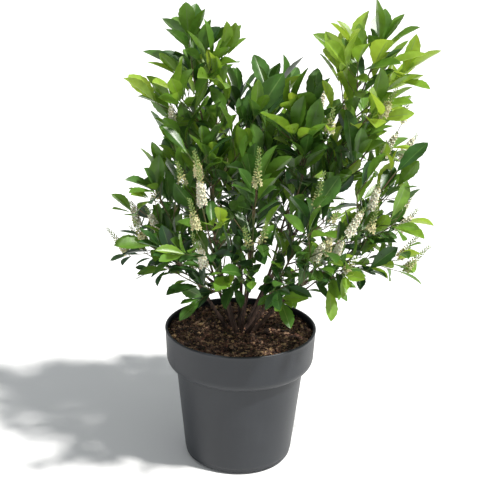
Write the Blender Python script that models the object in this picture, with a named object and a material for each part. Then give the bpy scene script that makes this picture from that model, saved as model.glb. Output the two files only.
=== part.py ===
"""Potted hummingbird summersweet: a dwarf flowering shrub, with many stems from one root, in a round nursery pot.

Metres, +Z up. The origin is the middle of the pot's flat underside, and -Y is the front. Every stem rises from the
growing medium, boughs fork off the stems, and each of them carries on as the leader of one mass of foliage: a leader,
side shoots by the golden angle, alternate leaves along all of them, and blossom spikes. All of it follows one seeded
rule, and a leaf or shoot that would leave its own mass's space is turned, shortened or left out.
"""

import math

import bmesh
import bpy
import numpy as np
from mathutils.bvhtree import BVHTree

# Pot, measured to the outside
POT_HEIGHT = 0.220
RIM_RADIUS = 0.120
COLLAR_BOTTOM_RADIUS = 0.1175
COLLAR_BOTTOM = 0.1735
SHOULDER_RADIUS = 0.100
SHOULDER_LEVEL = 0.157
FOOT_RADIUS = 0.0875
CHINE_RADIUS = 0.016
WALL = 0.0022
RIM_LIP = 0.0042
POT_SIDES = 36
NOTCH_COUNT = 3
NOTCH_BEARING = 308
NOTCH_WIDTH = 0.040
NOTCH_HEIGHT = 0.0045
NOTCH_DEPTH = 0.013

# Growing medium
SOIL_LEVEL = 0.209
SOIL_RELIEF = 0.0022
SOIL_RINGS = 4
GAP = 0.0003

# Stems and boughs
CLUMP_BACK = 0.008
FOOT_SPACING = 0.0098
FOOT_STEP = 0.0005
FLARE_SHARE = 0.40
FLARE_HEIGHT = 0.008
STEM_SIDES = 6
BOUGH_SIDES = 5
LEADER_TIP_RADIUS = 0.0009
SIDE_FOOT_RADIUS = 0.0012
SIDE_TIP_RADIUS = 0.0007
SWAY = 0.015
LIMB_POINTS = 81
LIMB_SEGMENT = 0.035
FLAT_SHARE = 0.93
LEADER_SEGMENT = 0.045
SIDE_POINTS = 3
LIMB_CLEARANCE = 0.0012

# Foliage
GOLDEN_ANGLE = math.radians(137.5)
LEAF_LENGTH = 0.060
LEAF_SPACING = 0.0150
LEAF_THICKNESS = 0.0013
LEAF_WIDEST = 0.56
LEAF_KEEL = 0.05
LEAF_DROOP = 0.08
LEAF_FLOOR = SOIL_LEVEL + 0.042
LEAF_FLOOR_OUTSIDE = POT_HEIGHT + 0.014
OVERHANG = 0.085
ROSETTE_SPACING = 0.0035
ROOT_INSET = 0.0012
SHOOT_SPACING = 0.034
SPACE_MARGIN = 0.0022
LEAF_TRIES = ((0.0, 1.0), (0.5, 0.95), (-0.5, 0.95), (1.0, 0.85), (-1.0, 0.85), (1.6, 0.75), (-1.6, 0.7))
KEPT_LEAVES = 0.05
LEAF_ENLARGED = 1.20
SPIKE_RADIUS = 0.0072
SEED = 100

UP = np.array([0.0, 0.0, 1.0])

# One row for each leader: the stem that it forks from and at what share of that stem, its tip's bearing (0 is the
# right, 90 the back, 180 the left and 270 the front), reach and rise over the growing medium, the share of it that is
# bare, its side shoots that end in a blossom spike, and whether it ends in one itself.
LEADERS = {
    "tall_left": (None, 0.0, 174, 0.085, 0.455, 0.42, 0, False),
    "tall_right": (None, 0.0, 354, 0.195, 0.460, 0.40, 0, False),
    "crown_middle": (None, 0.0, 20, 0.040, 0.380, 0.32, 1, False),
    "left": (None, 0.0, 186, 0.145, 0.260, 0.32, 2, False),
    "right": (None, 0.0, 348, 0.230, 0.280, 0.34, 2, False),
    "front": (None, 0.0, 278, 0.130, 0.270, 0.30, 2, True),
    "front_left": (None, 0.0, 246, 0.140, 0.240, 0.30, 2, True),
    "front_right": (None, 0.0, 307, 0.165, 0.240, 0.30, 2, True),
    "back": (None, 0.0, 95, 0.110, 0.340, 0.32, 1, False),
    "back_left": (None, 0.0, 135, 0.155, 0.260, 0.30, 1, True),
    "back_right": (None, 0.0, 50, 0.185, 0.300, 0.30, 1, True),
    "crown_right": ("tall_right", 0.30, 344, 0.105, 0.365, 0.25, 1, False),
    "crown_left": ("tall_left", 0.32, 225, 0.080, 0.300, 0.22, 1, False),
    "crown_back": ("crown_middle", 0.28, 100, 0.070, 0.365, 0.22, 1, False),
    "upper_right": ("tall_right", 0.36, 8, 0.220, 0.340, 0.22, 0, False),
    "low_left": ("left", 0.28, 205, 0.110, 0.170, 0.20, 1, True),
    "foot_left": ("left", 0.20, 168, 0.095, 0.110, 0.25, 0, False),
    "far_right": ("right", 0.30, 0, 0.245, 0.210, 0.22, 1, False),
    "low_right": ("right", 0.24, 330, 0.150, 0.165, 0.22, 1, True),
    "foot_right": ("right", 0.18, 352, 0.130, 0.105, 0.30, 0, False),
    "low_front": ("front_left", 0.26, 262, 0.110, 0.155, 0.25, 1, True),
    "low_corner": ("front_right", 0.24, 298, 0.115, 0.145, 0.25, 1, False),
    "low_back": ("back", 0.26, 105, 0.165, 0.185, 0.22, 1, True),
    "low_back_left": ("back_left", 0.24, 150, 0.145, 0.150, 0.22, 1, False),
    "low_back_right": ("back_right", 0.24, 60, 0.175, 0.170, 0.22, 1, True),
}


def unit(vector):
    return vector / np.linalg.norm(vector)


def polar(bearing, reach, height):
    """The point at a bearing in degrees and a reach from the middle of the clump."""
    angle = math.radians(bearing)
    return np.array([reach * math.cos(angle), CLUMP_BACK + reach * math.sin(angle), height])


def curve_of(start, bend, end, count):
    """Points on the quadratic curve from start to end that is drawn towards bend."""
    t = np.linspace(0.0, 1.0, count)[:, None]
    return (1 - t) ** 2 * start + 2 * t * (1 - t) * bend + t**2 * end


def run_of(line):
    """The length along a line up to each of its points."""
    return np.concatenate([[0.0], np.cumsum(np.linalg.norm(np.diff(line, axis=0), axis=1))])


def at_run(line, lengths):
    """The points at the given lengths along a line."""
    run = run_of(line)
    return np.stack([np.interp(lengths, run, line[:, axis]) for axis in range(3)], axis=-1)


def at_share(line, share):
    """The point at a share of a line's length, and the line's direction there."""
    run = run_of(line)
    segment = min(max(int(np.searchsorted(run, share * run[-1])) - 1, 0), len(line) - 2)
    return at_run(line, share * run[-1]), unit(line[segment + 1] - line[segment])


def cut_line(line, start, end, count):
    """The stretch of a line between two lengths along it, with evenly spaced points."""
    return at_run(line, np.linspace(start, end, count))


def across(way):
    """Two unit vectors square to a direction and to each other."""
    first = np.cross(way, UP)
    if np.linalg.norm(first) < 0.2:
        first = np.cross(way, [1.0, 0.0, 0.0])
    first = unit(first)
    return first, np.cross(first, way)


def nearest(points, line):
    """How far each point is from a line."""
    start, step = line[:-1], np.diff(line, axis=0)
    offset = points[:, None] - start
    share = np.clip((offset * step).sum(-1) / (step * step).sum(-1), 0.0, 1.0)
    return np.linalg.norm(offset - share[..., None] * step, axis=-1).min(axis=1)


def swayed(line, turn):
    """A line with a slight double bend to one side and back, which leaves its two ends where they are."""
    first, second = across(unit(line[-1] - line[0]))
    side = math.cos(turn) * first + math.sin(turn) * second
    t = np.linspace(0.0, 1.0, len(line))
    return line + (SWAY * run_of(line)[-1] * np.sin(np.pi * t) * np.sin(2.2 * np.pi * t))[:, None] * side


def foot_radius(line):
    """A longer limb is thicker at its foot."""
    return 0.0018 + 0.0048 * run_of(line)[-1]


def tip_radius(line):
    """The radius where a limb's bare stretch ends and its leader begins."""
    return 0.62 * foot_radius(line)


def bare_stretch(line, bare, is_stem):
    """The points and radii of a leader's bare limb, which tapers and, where it leaves the ground, has a flared foot."""
    length = bare * run_of(line)[-1]
    count = 4 + round(length / LIMB_SEGMENT)
    runs = length * np.linspace(0.0, 1.0, count) ** (1.4 if is_stem else 1.0)
    radii = foot_radius(line) + (tip_radius(line) - foot_radius(line)) * runs / length
    if is_stem:
        radii = radii * (1.0 + FLARE_SHARE * np.exp(-runs / FLARE_HEIGHT))
    return at_run(line, runs), radii


def seated(line, bare, carrier, stem, stem_radii):
    """A bough's line from the point on where the edge of its flat end just clears the stem that carries it."""
    stem_radius = stem_radii[np.linalg.norm(stem - line[0], axis=1).argmin()]
    for offset in np.arange(0.0, 0.04, 0.0001):
        cut = cut_line(line, offset, run_of(line)[-1], LIMB_POINTS)
        points, radii = bare_stretch(cut, bare, False)
        first, second = across(unit(points[1] - points[0]))
        angles = np.linspace(0.0, 2.0 * math.pi, 24)[:, None]
        edge = points[0] + FLAT_SHARE * radii[0] * (np.cos(angles) * first + np.sin(angles) * second)
        if min(nearest(edge, stem).min(), nearest(edge, carrier).min()) > FLAT_SHARE * stem_radius + GAP:
            return cut
    return line


def leader_lines():
    """The middle line of every leader from its foot to its tip: the stems with their feet packed into one clump, and
    the boughs from just outside the stem that each forks from."""
    lines = {}
    stems = [name for name, row in LEADERS.items() if row[0] is None]
    for name in sorted(stems, key=lambda name: LEADERS[name][3] / LEADERS[name][4]):
        _, _, bearing, reach, rise, *_ = LEADERS[name]
        tip = polar(bearing, reach, SOIL_LEVEL + rise)
        foot = 0.0
        while True:
            base = polar(bearing, foot, SOIL_LEVEL + GAP)
            bend = polar(bearing, foot + 0.50 * (reach - foot), SOIL_LEVEL + 0.42 * rise)
            line = swayed(curve_of(base, bend, tip, LIMB_POINTS), bearing)
            if all(nearest(line, other).min() > FOOT_SPACING for other in lines.values()):
                break
            foot += FOOT_STEP
        lines[name] = line
    for name, (parent, share, bearing, reach, rise, *_) in LEADERS.items():
        if parent is None:
            continue
        start, _ = at_share(lines[parent], share)
        tip = polar(bearing, reach, SOIL_LEVEL + rise)
        out = tip - start
        bend = start + 0.45 * out - 0.16 * math.hypot(out[0], out[1]) * UP
        line = swayed(curve_of(start, bend, tip, LIMB_POINTS), bearing)
        stem = bare_stretch(lines[parent], LEADERS[parent][5], True)
        lines[name] = seated(line, LEADERS[name][5], lines[parent], *stem)
    return lines


LINES = leader_lines()
NAMES = list(LEADERS)


def bare_length(name):
    return LEADERS[name][5] * run_of(LINES[name])[-1]


LIMBS = {name: cut_line(LINES[name], 0.0, bare_length(name), 13) for name in NAMES}
AXES = {name: cut_line(LINES[name], 0.0, run_of(LINES[name])[-1], 19) for name in NAMES}


def has_room(points, name, margin=SPACE_MARGIN):
    """Whether points lie in a mass's own space: nearer to its leader than to any other, clear of every bare limb and
    well over the pot."""
    floor = np.where(np.hypot(points[:, 0], points[:, 1]) < OVERHANG, LEAF_FLOOR, LEAF_FLOOR_OUTSIDE)
    if (points[:, 2] < floor).any():
        return False
    own = nearest(points, AXES[name])
    for other in NAMES:
        if other != name and (nearest(points, AXES[other]) - own).min() < margin:
            return False
        if nearest(points, LIMBS[other]).min() < foot_radius(LINES[other]) + LIMB_CLEARANCE:
            return False
    return True


def vigour(point):
    """How large leaves grow at a point: small low down in the shade, and large in the sun on top."""
    return 0.72 + 0.46 * min(1.0, max(0.0, (point[2] - SOIL_LEVEL - 0.04) / 0.36))


def tube_faces(line, radii, sides, level_foot=False):
    """Points and faces of a tapered limb along a line, closed by a flat end at each end; a level foot is cut level
    with the ground."""
    ways = np.gradient(line, axis=0)
    first, _ = across(unit(ways[0]))
    rings = []
    for number, (point, way, radius) in enumerate(zip(line, ways, radii)):
        way = UP if level_foot and number == 0 else unit(way)
        first = unit(first - (first @ way) * way)
        second = np.cross(way, first)
        for side in range(sides):
            angle = 2.0 * math.pi * side / sides
            rings.append(point + radius * (math.cos(angle) * first + math.sin(angle) * second))
    faces = []
    for ring in range(len(line) - 1):
        for side in range(sides):
            low, low_next = ring * sides + side, ring * sides + (side + 1) % sides
            faces.append((low, low_next, low_next + sides, low + sides))
    faces.append(tuple(range(sides)))
    faces.append(tuple(range((len(line) - 1) * sides, len(line) * sides)))
    return rings, faces


def leaf_faces(leaf):
    """A leaf as a thin keeled blade of eight faces, its root at the middle of the shoot."""
    half = LEAF_THICKNESS / 2
    points = [
        leaf.root,
        leaf.point(LEAF_WIDEST, 1.0),
        leaf.point(1.0, 0.0),
        leaf.point(LEAF_WIDEST, -1.0),
        leaf.point(LEAF_WIDEST, 0.0, half),
        leaf.point(LEAF_WIDEST, 0.0, -half),
    ]
    return points, [(side, (side + 1) % 4, pole) for side in range(4) for pole in (4, 5)]


def spike_faces(foot, direction, length):
    """A blossom spike, widest low down, with a slightly bumpy outline."""
    shares = np.array([-0.06, 0.10, 0.34, 0.60, 0.84, 1.0])
    radii = SPIKE_RADIUS * np.array([0.14, 0.85, 1.0, 0.84, 0.60, 0.12])
    return tube_faces(foot + direction * (length * shares)[:, None], radii, 5)


class Leaf:
    """One leaf: its root on a shoot, the blade's direction, face and side, and its size."""

    def __init__(self, root, way, turn, opening, length, roll, slimness):
        first, second = across(way)
        side = math.cos(turn) * first + math.sin(turn) * second
        self.root = root
        self.way = unit(math.cos(opening) * way + math.sin(opening) * side + 0.10 * UP)
        face = 0.75 * way + 0.55 * UP
        face = unit(face - (face @ self.way) * self.way)
        across_blade = np.cross(self.way, face)
        self.face = unit(math.cos(roll) * face + math.sin(roll) * across_blade)
        self.side = np.cross(self.way, self.face)
        self.length = length
        self.width = length * slimness

    def point(self, share, sideways, up=0.0):
        """A point on the blade by its share of the length, of half the width, and its height over the blade."""
        return (
            self.root
            + self.way * self.length * share
            + self.side * self.width * 0.5 * sideways
            + self.face * self.length * (LEAF_KEEL * abs(sideways) - LEAF_DROOP * share**2)
            + self.face * up
        )

    def outline(self):
        """Points round the blade's edge and along its rib, where its room is tested."""
        near, far = 0.5 * LEAF_WIDEST, 0.5 * (1.0 + LEAF_WIDEST)
        rib = [(share, 0.0) for share in (near, LEAF_WIDEST, far, 1.0)]
        edge = [(share, side) for share, side in ((near, 0.5), (LEAF_WIDEST, 1.0), (far, 0.5))]
        return np.array([self.point(*spot) for spot in rib + edge + [(share, -side) for share, side in edge]])


class Mass:
    """What grows on one leader: shoots as lines, leaves, and blossom spikes as a foot, a direction and a length."""

    def __init__(self, name):
        self.name = name
        self.random = np.random.default_rng(SEED + NAMES.index(name))
        self.shoots = []
        self.leaves = []
        self.spikes = []
        self.taken = []
        *_, self.racemes, self.raceme_on_top = LEADERS[name]
        self.grow()

    def grow(self):
        line = LINES[self.name]
        length = run_of(line)[-1]
        count = 4 + round((length - bare_length(self.name)) / LEADER_SEGMENT)
        leader = cut_line(line, bare_length(self.name) + GAP, length, count)
        self.shoots.append(leader)
        if self.raceme_on_top:
            self.add_spike(leader, 1.15)
        self.add_leaves(leader, 0.012, 3 if self.raceme_on_top else 5)
        turn = self.random.uniform(0.0, 2.0 * math.pi)
        count = max(3, round(run_of(leader)[-1] / SHOOT_SPACING))
        for number in range(count):
            share = 0.03 + 0.68 * (number + 0.5) / count
            self.add_side_shoot(leader, share, turn)
            turn += GOLDEN_ANGLE

    def add_side_shoot(self, leader, share, turn):
        """A side shoot from a share of the leader; it is turned and shortened until it has room, or left out."""
        foot, way = at_share(leader, share)
        vigorous = self.random.uniform(0.85, 1.20)
        first, second = across(way)
        for attempt in range(6):
            angle = turn + 0.7 * attempt
            side = math.cos(angle) * first + math.sin(angle) * second
            direction = unit(0.70 * way + 0.72 * side + 0.15 * UP)
            length = (0.104 - 0.062 * share) * vigorous * (1 - 0.12 * attempt)
            tip = foot + length * direction + 0.12 * length * UP
            shoot = curve_of(foot, foot + 0.5 * length * direction, tip, SIDE_POINTS)
            if has_room(shoot[1:], self.name):
                break
        else:
            self.random.uniform(size=2)
            return
        self.shoots.append(shoot)
        outward = unit((foot - polar(0, 0, 0)) * [1.0, 1.0, 0.0])
        flowering = self.racemes > 0 and direction @ outward > 0.1
        if flowering:
            self.racemes -= 1
            self.add_spike(shoot, 0.9)
        self.add_leaves(shoot, 0.016, 2 if flowering else 4)

    def add_spike(self, shoot, size):
        foot, way = at_share(shoot, 1.0)
        length = size * self.random.uniform(0.040, 0.058)
        direction = unit(0.5 * way + 0.7 * UP)
        if has_room(np.array([foot, foot + length * direction]), self.name, SPACE_MARGIN + SPIKE_RADIUS):
            self.spikes.append((foot, direction, length))
            self.taken.append(BVHTree.FromPolygons(*spike_faces(foot, direction, length)))

    def add_leaves(self, shoot, first, at_tip):
        """Alternate leaves along a shoot by the golden angle, from the length first on, and a rosette at its tip."""
        length = run_of(shoot)[-1]
        turn = self.random.uniform(0.0, 2.0 * math.pi)
        run = first
        places = []
        while run < length - ROSETTE_SPACING * at_tip:
            share = run / length
            places.append((share, 0.80 + 0.30 * share, math.radians(62 - 22 * share), False))
            spacing = LEAF_SPACING * (0.62 + 0.38 * vigour(at_share(shoot, share)[0]))
            run += spacing * self.random.uniform(0.8, 1.2)
        for number in range(at_tip):
            late = number / max(1, at_tip - 1)
            share = 1.0 - (ROOT_INSET + ROSETTE_SPACING * (at_tip - 1 - number)) / length
            places.append((share, 1.15 - 0.45 * late, math.radians(42 - 30 * late), True))
        for share, size, opening, terminal in places:
            grown, wide, tilt, roll, rank = self.random.uniform(size=5)
            point, way = at_share(shoot, share)
            size *= LEAF_LENGTH * vigour(point) * (0.80 + 0.35 * grown)
            opening += math.radians(24 * (tilt - 0.5))
            self.add_leaf(point, way, turn, opening, size, 1.2 * (roll - 0.5), 0.37 + 0.09 * wide, terminal, rank)
            turn += GOLDEN_ANGLE

    def add_leaf(self, point, way, turn, opening, size, roll, slimness, terminal, rank):
        """A leaf, turned and made smaller until it has room. Those of low rank are left out of the solids."""
        if not terminal and rank > KEPT_LEAVES:
            return
        for nudge, smaller in LEAF_TRIES:
            leaf = Leaf(point, way, turn + nudge, opening, size * smaller * LEAF_ENLARGED, roll, slimness)
            blade = BVHTree.FromPolygons(*leaf_faces(leaf))
            if has_room(leaf.outline(), self.name) and not any(blade.overlap(other) for other in self.taken):
                self.leaves.append(leaf)
                self.taken.append(blade)
                return


def new_material(name, colour, roughness):
    material = bpy.data.materials.new(name)
    material.use_nodes = True
    shader = material.node_tree.nodes["Principled BSDF"]
    shader.inputs["Base Color"].default_value = (*colour, 1.0)
    shader.inputs["Roughness"].default_value = roughness
    shader.inputs["Metallic"].default_value = 0.0
    return material


def new_object(name, points, faces, material=None):
    """A mesh object from its points and faces, with the faces made to point outwards."""
    mesh = bpy.data.meshes.new(name)
    mesh.from_pydata([tuple(map(float, point)) for point in points], [], faces)
    shape = bmesh.new()
    shape.from_mesh(mesh)
    bmesh.ops.recalc_face_normals(shape, faces=shape.faces)
    shape.to_mesh(mesh)
    shape.free()
    if material:
        mesh.materials.append(material)
    item = bpy.data.objects.new(name, mesh)
    bpy.context.scene.collection.objects.link(item)
    return item


def smooth(item, angle=35):
    item.data.shade_smooth()
    item.data.set_sharp_from_angle(angle=math.radians(angle))


def turned(name, profile, sides, material):
    """A solid of revolution about Z from a profile of (radius, height) pairs that starts and ends on the axis."""
    shape = bmesh.new()
    corners = [shape.verts.new((radius, 0.0, height)) for radius, height in profile]
    edges = [shape.edges.new(pair) for pair in zip(corners, corners[1:])]
    bmesh.ops.spin(
        shape, geom=corners + edges, axis=(0, 0, 1), cent=(0, 0, 0), steps=sides, angle=2.0 * math.pi, use_merge=True
    )
    bmesh.ops.remove_doubles(shape, verts=shape.verts, dist=1e-5)
    bmesh.ops.recalc_face_normals(shape, faces=shape.faces)
    mesh = bpy.data.meshes.new(name)
    shape.to_mesh(mesh)
    shape.free()
    mesh.materials.append(material)
    item = bpy.data.objects.new(name, mesh)
    bpy.context.scene.collection.objects.link(item)
    return item


def arc(centre, radius, start, end, count):
    """Points on an arc in the profile's plane, by angles in degrees from the outward direction."""
    angles = np.radians(np.linspace(start, end, count))
    return [(centre[0] + radius * math.cos(a), centre[1] + radius * math.sin(a)) for a in angles]


def inner_radius(height):
    """The radius of the pot's inside at a height."""
    levels = (WALL, SHOULDER_LEVEL, COLLAR_BOTTOM, POT_HEIGHT)
    radii = (FOOT_RADIUS, SHOULDER_RADIUS, COLLAR_BOTTOM_RADIUS, RIM_RADIUS)
    return float(np.interp(height, levels, radii)) - WALL


def make_pot(material):
    """The pot's wall with its stepped collar and rounded lip, standing on a flat underside with drain notches."""
    chine = arc((FOOT_RADIUS - CHINE_RADIUS, CHINE_RADIUS), CHINE_RADIUS, -90, -4, 5)
    step = arc((SHOULDER_RADIUS + 0.0005, COLLAR_BOTTOM), COLLAR_BOTTOM_RADIUS - SHOULDER_RADIUS - 0.0005, -84, 0, 5)
    lip = arc((RIM_RADIUS - RIM_LIP / 2, POT_HEIGHT - RIM_LIP / 2), RIM_LIP / 2, 0, 180, 5)
    inside = [(inner_radius(height), height) for height in (COLLAR_BOTTOM, SHOULDER_LEVEL, 2.2 * WALL)]
    inside.insert(0, (inner_radius(POT_HEIGHT - RIM_LIP), POT_HEIGHT - RIM_LIP))
    profile = [(0.0, 0.0), *chine, *step, *lip, *inside, (0.0, 2.2 * WALL)]
    pot = turned("pot", profile, POT_SIDES, material)
    for number in range(NOTCH_COUNT):
        bearing = math.radians(NOTCH_BEARING + 360 * number / NOTCH_COUNT)
        bpy.ops.mesh.primitive_cube_add(size=2.0)
        cutter = bpy.context.object
        cutter.name = f"notch_cutter_{number + 1}"
        cutter.scale = (NOTCH_DEPTH, NOTCH_WIDTH / 2, NOTCH_HEIGHT)
        bpy.ops.object.transform_apply(location=False, rotation=False, scale=True)
        cutter.location = (FOOT_RADIUS * math.cos(bearing), FOOT_RADIUS * math.sin(bearing), 0.0)
        cutter.rotation_euler = (0.0, 0.0, bearing)
        cutter.hide_render = True
        cutter.display_type = "WIRE"
        notch = pot.modifiers.new(cutter.name, "BOOLEAN")
        notch.operation = "DIFFERENCE"
        notch.object = cutter
    smooth(pot)


def make_growing_medium(material):
    """The filling, just inside the pot's wall, with an uneven top that is flat round the stems."""
    floor = 2.2 * WALL + GAP
    levels = (SOIL_LEVEL, COLLAR_BOTTOM, SHOULDER_LEVEL, floor)
    wall = [(inner_radius(height) - GAP, height) for height in levels]
    top = [(wall[0][0] * ring / SOIL_RINGS, SOIL_LEVEL) for ring in range(SOIL_RINGS)]
    medium = turned("growing_medium", [*top, *wall, (0.0, floor)], POT_SIDES, material)
    flat = FOOT_SPACING * 4.2
    for corner in medium.data.vertices:
        x, y, z = corner.co
        radius = math.hypot(x, y)
        if z > SOIL_LEVEL - 1e-4 and flat < radius < wall[0][0] - 1e-4:
            ripple = math.sin(97 * x + 3) * math.cos(113 * y) + 0.6 * math.sin(181 * (x - y))
            corner.co.z += SOIL_RELIEF * ripple / 1.6
    smooth(medium)


def make_limb(name, material):
    """The bare stretch of one stem or bough, tapered, with a flared foot cut level where it leaves the ground."""
    is_stem = LEADERS[name][0] is None
    line, radii = bare_stretch(LINES[name], LEADERS[name][5], is_stem)
    kind, sides = ("stem", STEM_SIDES) if is_stem else ("bough", BOUGH_SIDES)
    smooth(new_object(f"{kind}_{name}", *tube_faces(line, radii, sides, level_foot=is_stem), material), 60)


def make_mass(name, material):
    """One mass of foliage as one solid: shoots, leaves and blossom joined into each other."""
    mass = Mass(name)
    leader, *side_shoots = mass.shoots
    radii = np.linspace(tip_radius(LINES[name]), LEADER_TIP_RADIUS, len(leader))
    core = new_object(f"foliage_{name}", *tube_faces(leader, radii, 3), material)
    pieces = bpy.data.collections.new(f"pieces_{name}")
    bpy.context.scene.collection.children.link(pieces)
    side_radii = np.linspace(SIDE_FOOT_RADIUS, SIDE_TIP_RADIUS, SIDE_POINTS)
    parts = [new_object("shoot", *tube_faces(shoot, side_radii, 3)) for shoot in side_shoots]
    parts += [new_object("leaf", *leaf_faces(leaf)) for leaf in mass.leaves]
    parts += [new_object("spike", *spike_faces(*spike)) for spike in mass.spikes]
    for part in parts:
        bpy.context.scene.collection.objects.unlink(part)
        pieces.objects.link(part)
    join = core.modifiers.new("join", "BOOLEAN")
    join.operation = "UNION"
    join.operand_type = "COLLECTION"
    join.collection = pieces
    joined = bpy.data.meshes.new_from_object(core.evaluated_get(bpy.context.evaluated_depsgraph_get()))
    core.modifiers.clear()
    core.data = joined
    for part in parts:
        bpy.data.objects.remove(part)
    bpy.data.collections.remove(pieces)
    keep_largest_body(joined)


def keep_largest_body(mesh):
    """Drops loose scraps, and fills sealed hollows by dropping their walls."""
    shape = bmesh.new()
    shape.from_mesh(mesh)
    waiting = set(shape.verts)
    bodies = []
    while waiting:
        body = {waiting.pop()}
        front = list(body)
        while front:
            for edge in front.pop().link_edges:
                for corner in edge.verts:
                    if corner in waiting:
                        waiting.remove(corner)
                        body.add(corner)
                        front.append(corner)
        bodies.append(body)
    bodies.sort(key=len)
    for body in bodies[:-1]:
        bmesh.ops.delete(shape, geom=list(body), context="VERTS")
    shape.to_mesh(mesh)
    shape.free()


def main():
    for item in list(bpy.data.objects):
        bpy.data.objects.remove(item)
    make_pot(new_material("slate_grey_plastic", (0.055, 0.065, 0.075), 0.45))
    make_growing_medium(new_material("bark_mix", (0.085, 0.045, 0.025), 0.95))
    bark = new_material("brown_bark", (0.10, 0.055, 0.035), 0.8)
    shades = ((0.03, 0.12, 0.015), (0.06, 0.19, 0.015), (0.09, 0.26, 0.015))
    greens = [new_material(f"leaf_green_{number + 1}", shade, 0.45) for number, shade in enumerate(shades)]
    for name in NAMES:
        make_limb(name, bark)
    for number, name in enumerate(NAMES):
        make_mass(name, greens[number % len(greens)])


main()
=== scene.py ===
"""Looks of a potted hummingbird summersweet: a low flowering shrub with many stems, in a grey nursery pot.

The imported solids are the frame. The sections follow the plant as it is put together: the pot, the growing
medium, the stems and boughs, the leafy shoots, the leaves and the blossom. Lengths are in metres, +Z is up,
-Y is the front.
"""

import math

import bpy
import numpy as np
from mathutils import Matrix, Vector
from mathutils.bvhtree import BVHTree


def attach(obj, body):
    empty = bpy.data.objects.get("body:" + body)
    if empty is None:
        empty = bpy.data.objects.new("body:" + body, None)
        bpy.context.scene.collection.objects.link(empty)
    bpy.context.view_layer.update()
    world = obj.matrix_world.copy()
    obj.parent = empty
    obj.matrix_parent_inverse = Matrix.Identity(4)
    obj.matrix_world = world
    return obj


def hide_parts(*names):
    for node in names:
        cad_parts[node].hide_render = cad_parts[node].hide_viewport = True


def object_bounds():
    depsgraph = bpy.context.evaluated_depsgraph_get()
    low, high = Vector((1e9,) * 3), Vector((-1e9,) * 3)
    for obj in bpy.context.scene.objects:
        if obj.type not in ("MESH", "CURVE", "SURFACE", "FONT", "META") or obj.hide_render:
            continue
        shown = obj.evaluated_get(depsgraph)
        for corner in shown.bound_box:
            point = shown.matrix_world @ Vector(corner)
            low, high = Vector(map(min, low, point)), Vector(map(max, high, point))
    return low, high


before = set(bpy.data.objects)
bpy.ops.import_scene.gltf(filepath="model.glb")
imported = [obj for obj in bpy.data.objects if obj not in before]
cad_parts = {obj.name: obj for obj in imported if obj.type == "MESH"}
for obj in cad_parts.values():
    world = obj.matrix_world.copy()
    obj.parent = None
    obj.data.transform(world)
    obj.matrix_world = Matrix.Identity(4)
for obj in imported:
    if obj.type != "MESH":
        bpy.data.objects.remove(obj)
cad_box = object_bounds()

# Camera, floor and light
# A view from a little above, a pale floor that fills the background, a high soft sun from the right and the
# front, and a white surround as wide as a studio's, which fills the shadows.
CAMERA_PLACE = (-0.0036, -1.3756, 0.8181)
CAMERA_LENS = 70.4
CAMERA_PITCH = 18.32
CAMERA_ROLL = 1.2
SENSOR_WIDTH = 36.0
FLOOR_RADIUS = 40.0
FLOOR_SIDES = 64
FLOOR_LEVEL = -0.0003
FLOOR_WHITE = (0.86, 0.865, 0.87)
FLOOR_ROUGHNESS = 0.9
SURROUND_WHITE = (0.95, 0.98, 1.0)
SURROUND_STRENGTH = 0.50
SUN_WHITE = (1.0, 0.975, 0.94)
SUN_STRENGTH = 5.0
SUN_FROM = (0.55, -0.30, 0.98)
SUN_WIDTH = 5.0

camera = bpy.data.objects.new("camera", bpy.data.cameras.new("camera"))
camera.data.lens = CAMERA_LENS
camera.data.sensor_width = SENSOR_WIDTH
camera.matrix_world = (
    Matrix.Translation(CAMERA_PLACE)
    @ Matrix.Rotation(math.radians(90.0 - CAMERA_PITCH), 4, "X")
    @ Matrix.Rotation(math.radians(CAMERA_ROLL), 4, "Z")
)

sun = bpy.data.objects.new("sun", bpy.data.lights.new("sun", "SUN"))
sun.data.energy = SUN_STRENGTH
sun.data.angle = math.radians(SUN_WIDTH)
sun.data.color = SUN_WHITE
toward = np.array(SUN_FROM) / np.linalg.norm(SUN_FROM)
sun.rotation_euler = (math.acos(toward[2]), 0.0, math.atan2(toward[1], toward[0]) + math.pi / 2)

surround = bpy.data.worlds.new("surround")
surround.use_nodes = True
backdrop = surround.node_tree.nodes["Background"]
backdrop.inputs["Color"].default_value = (*SURROUND_WHITE, 1.0)
backdrop.inputs["Strength"].default_value = SURROUND_STRENGTH

floor_white = bpy.data.materials.new("floor_white")
floor_white.use_nodes = True
floor_skin = floor_white.node_tree.nodes["Principled BSDF"]
floor_skin.inputs["Base Color"].default_value = (*FLOOR_WHITE, 1.0)
floor_skin.inputs["Roughness"].default_value = FLOOR_ROUGHNESS
floor_mesh = bpy.data.meshes.new("floor")
floor_turn = np.linspace(0.0, 2.0 * math.pi, FLOOR_SIDES, endpoint=False)
floor_edge = [(FLOOR_RADIUS * math.cos(a), FLOOR_RADIUS * math.sin(a), FLOOR_LEVEL) for a in floor_turn]
floor_mesh.from_pydata(floor_edge, [], [tuple(range(FLOOR_SIDES))])
floor_mesh.materials.append(floor_white)
floor = bpy.data.objects.new("floor", floor_mesh)

for thing in (camera, sun, floor):
    bpy.context.scene.collection.objects.link(thing)
bpy.context.scene.camera = camera
bpy.context.scene.world = surround
bpy.context.scene.view_settings.view_transform = "Standard"

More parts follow.
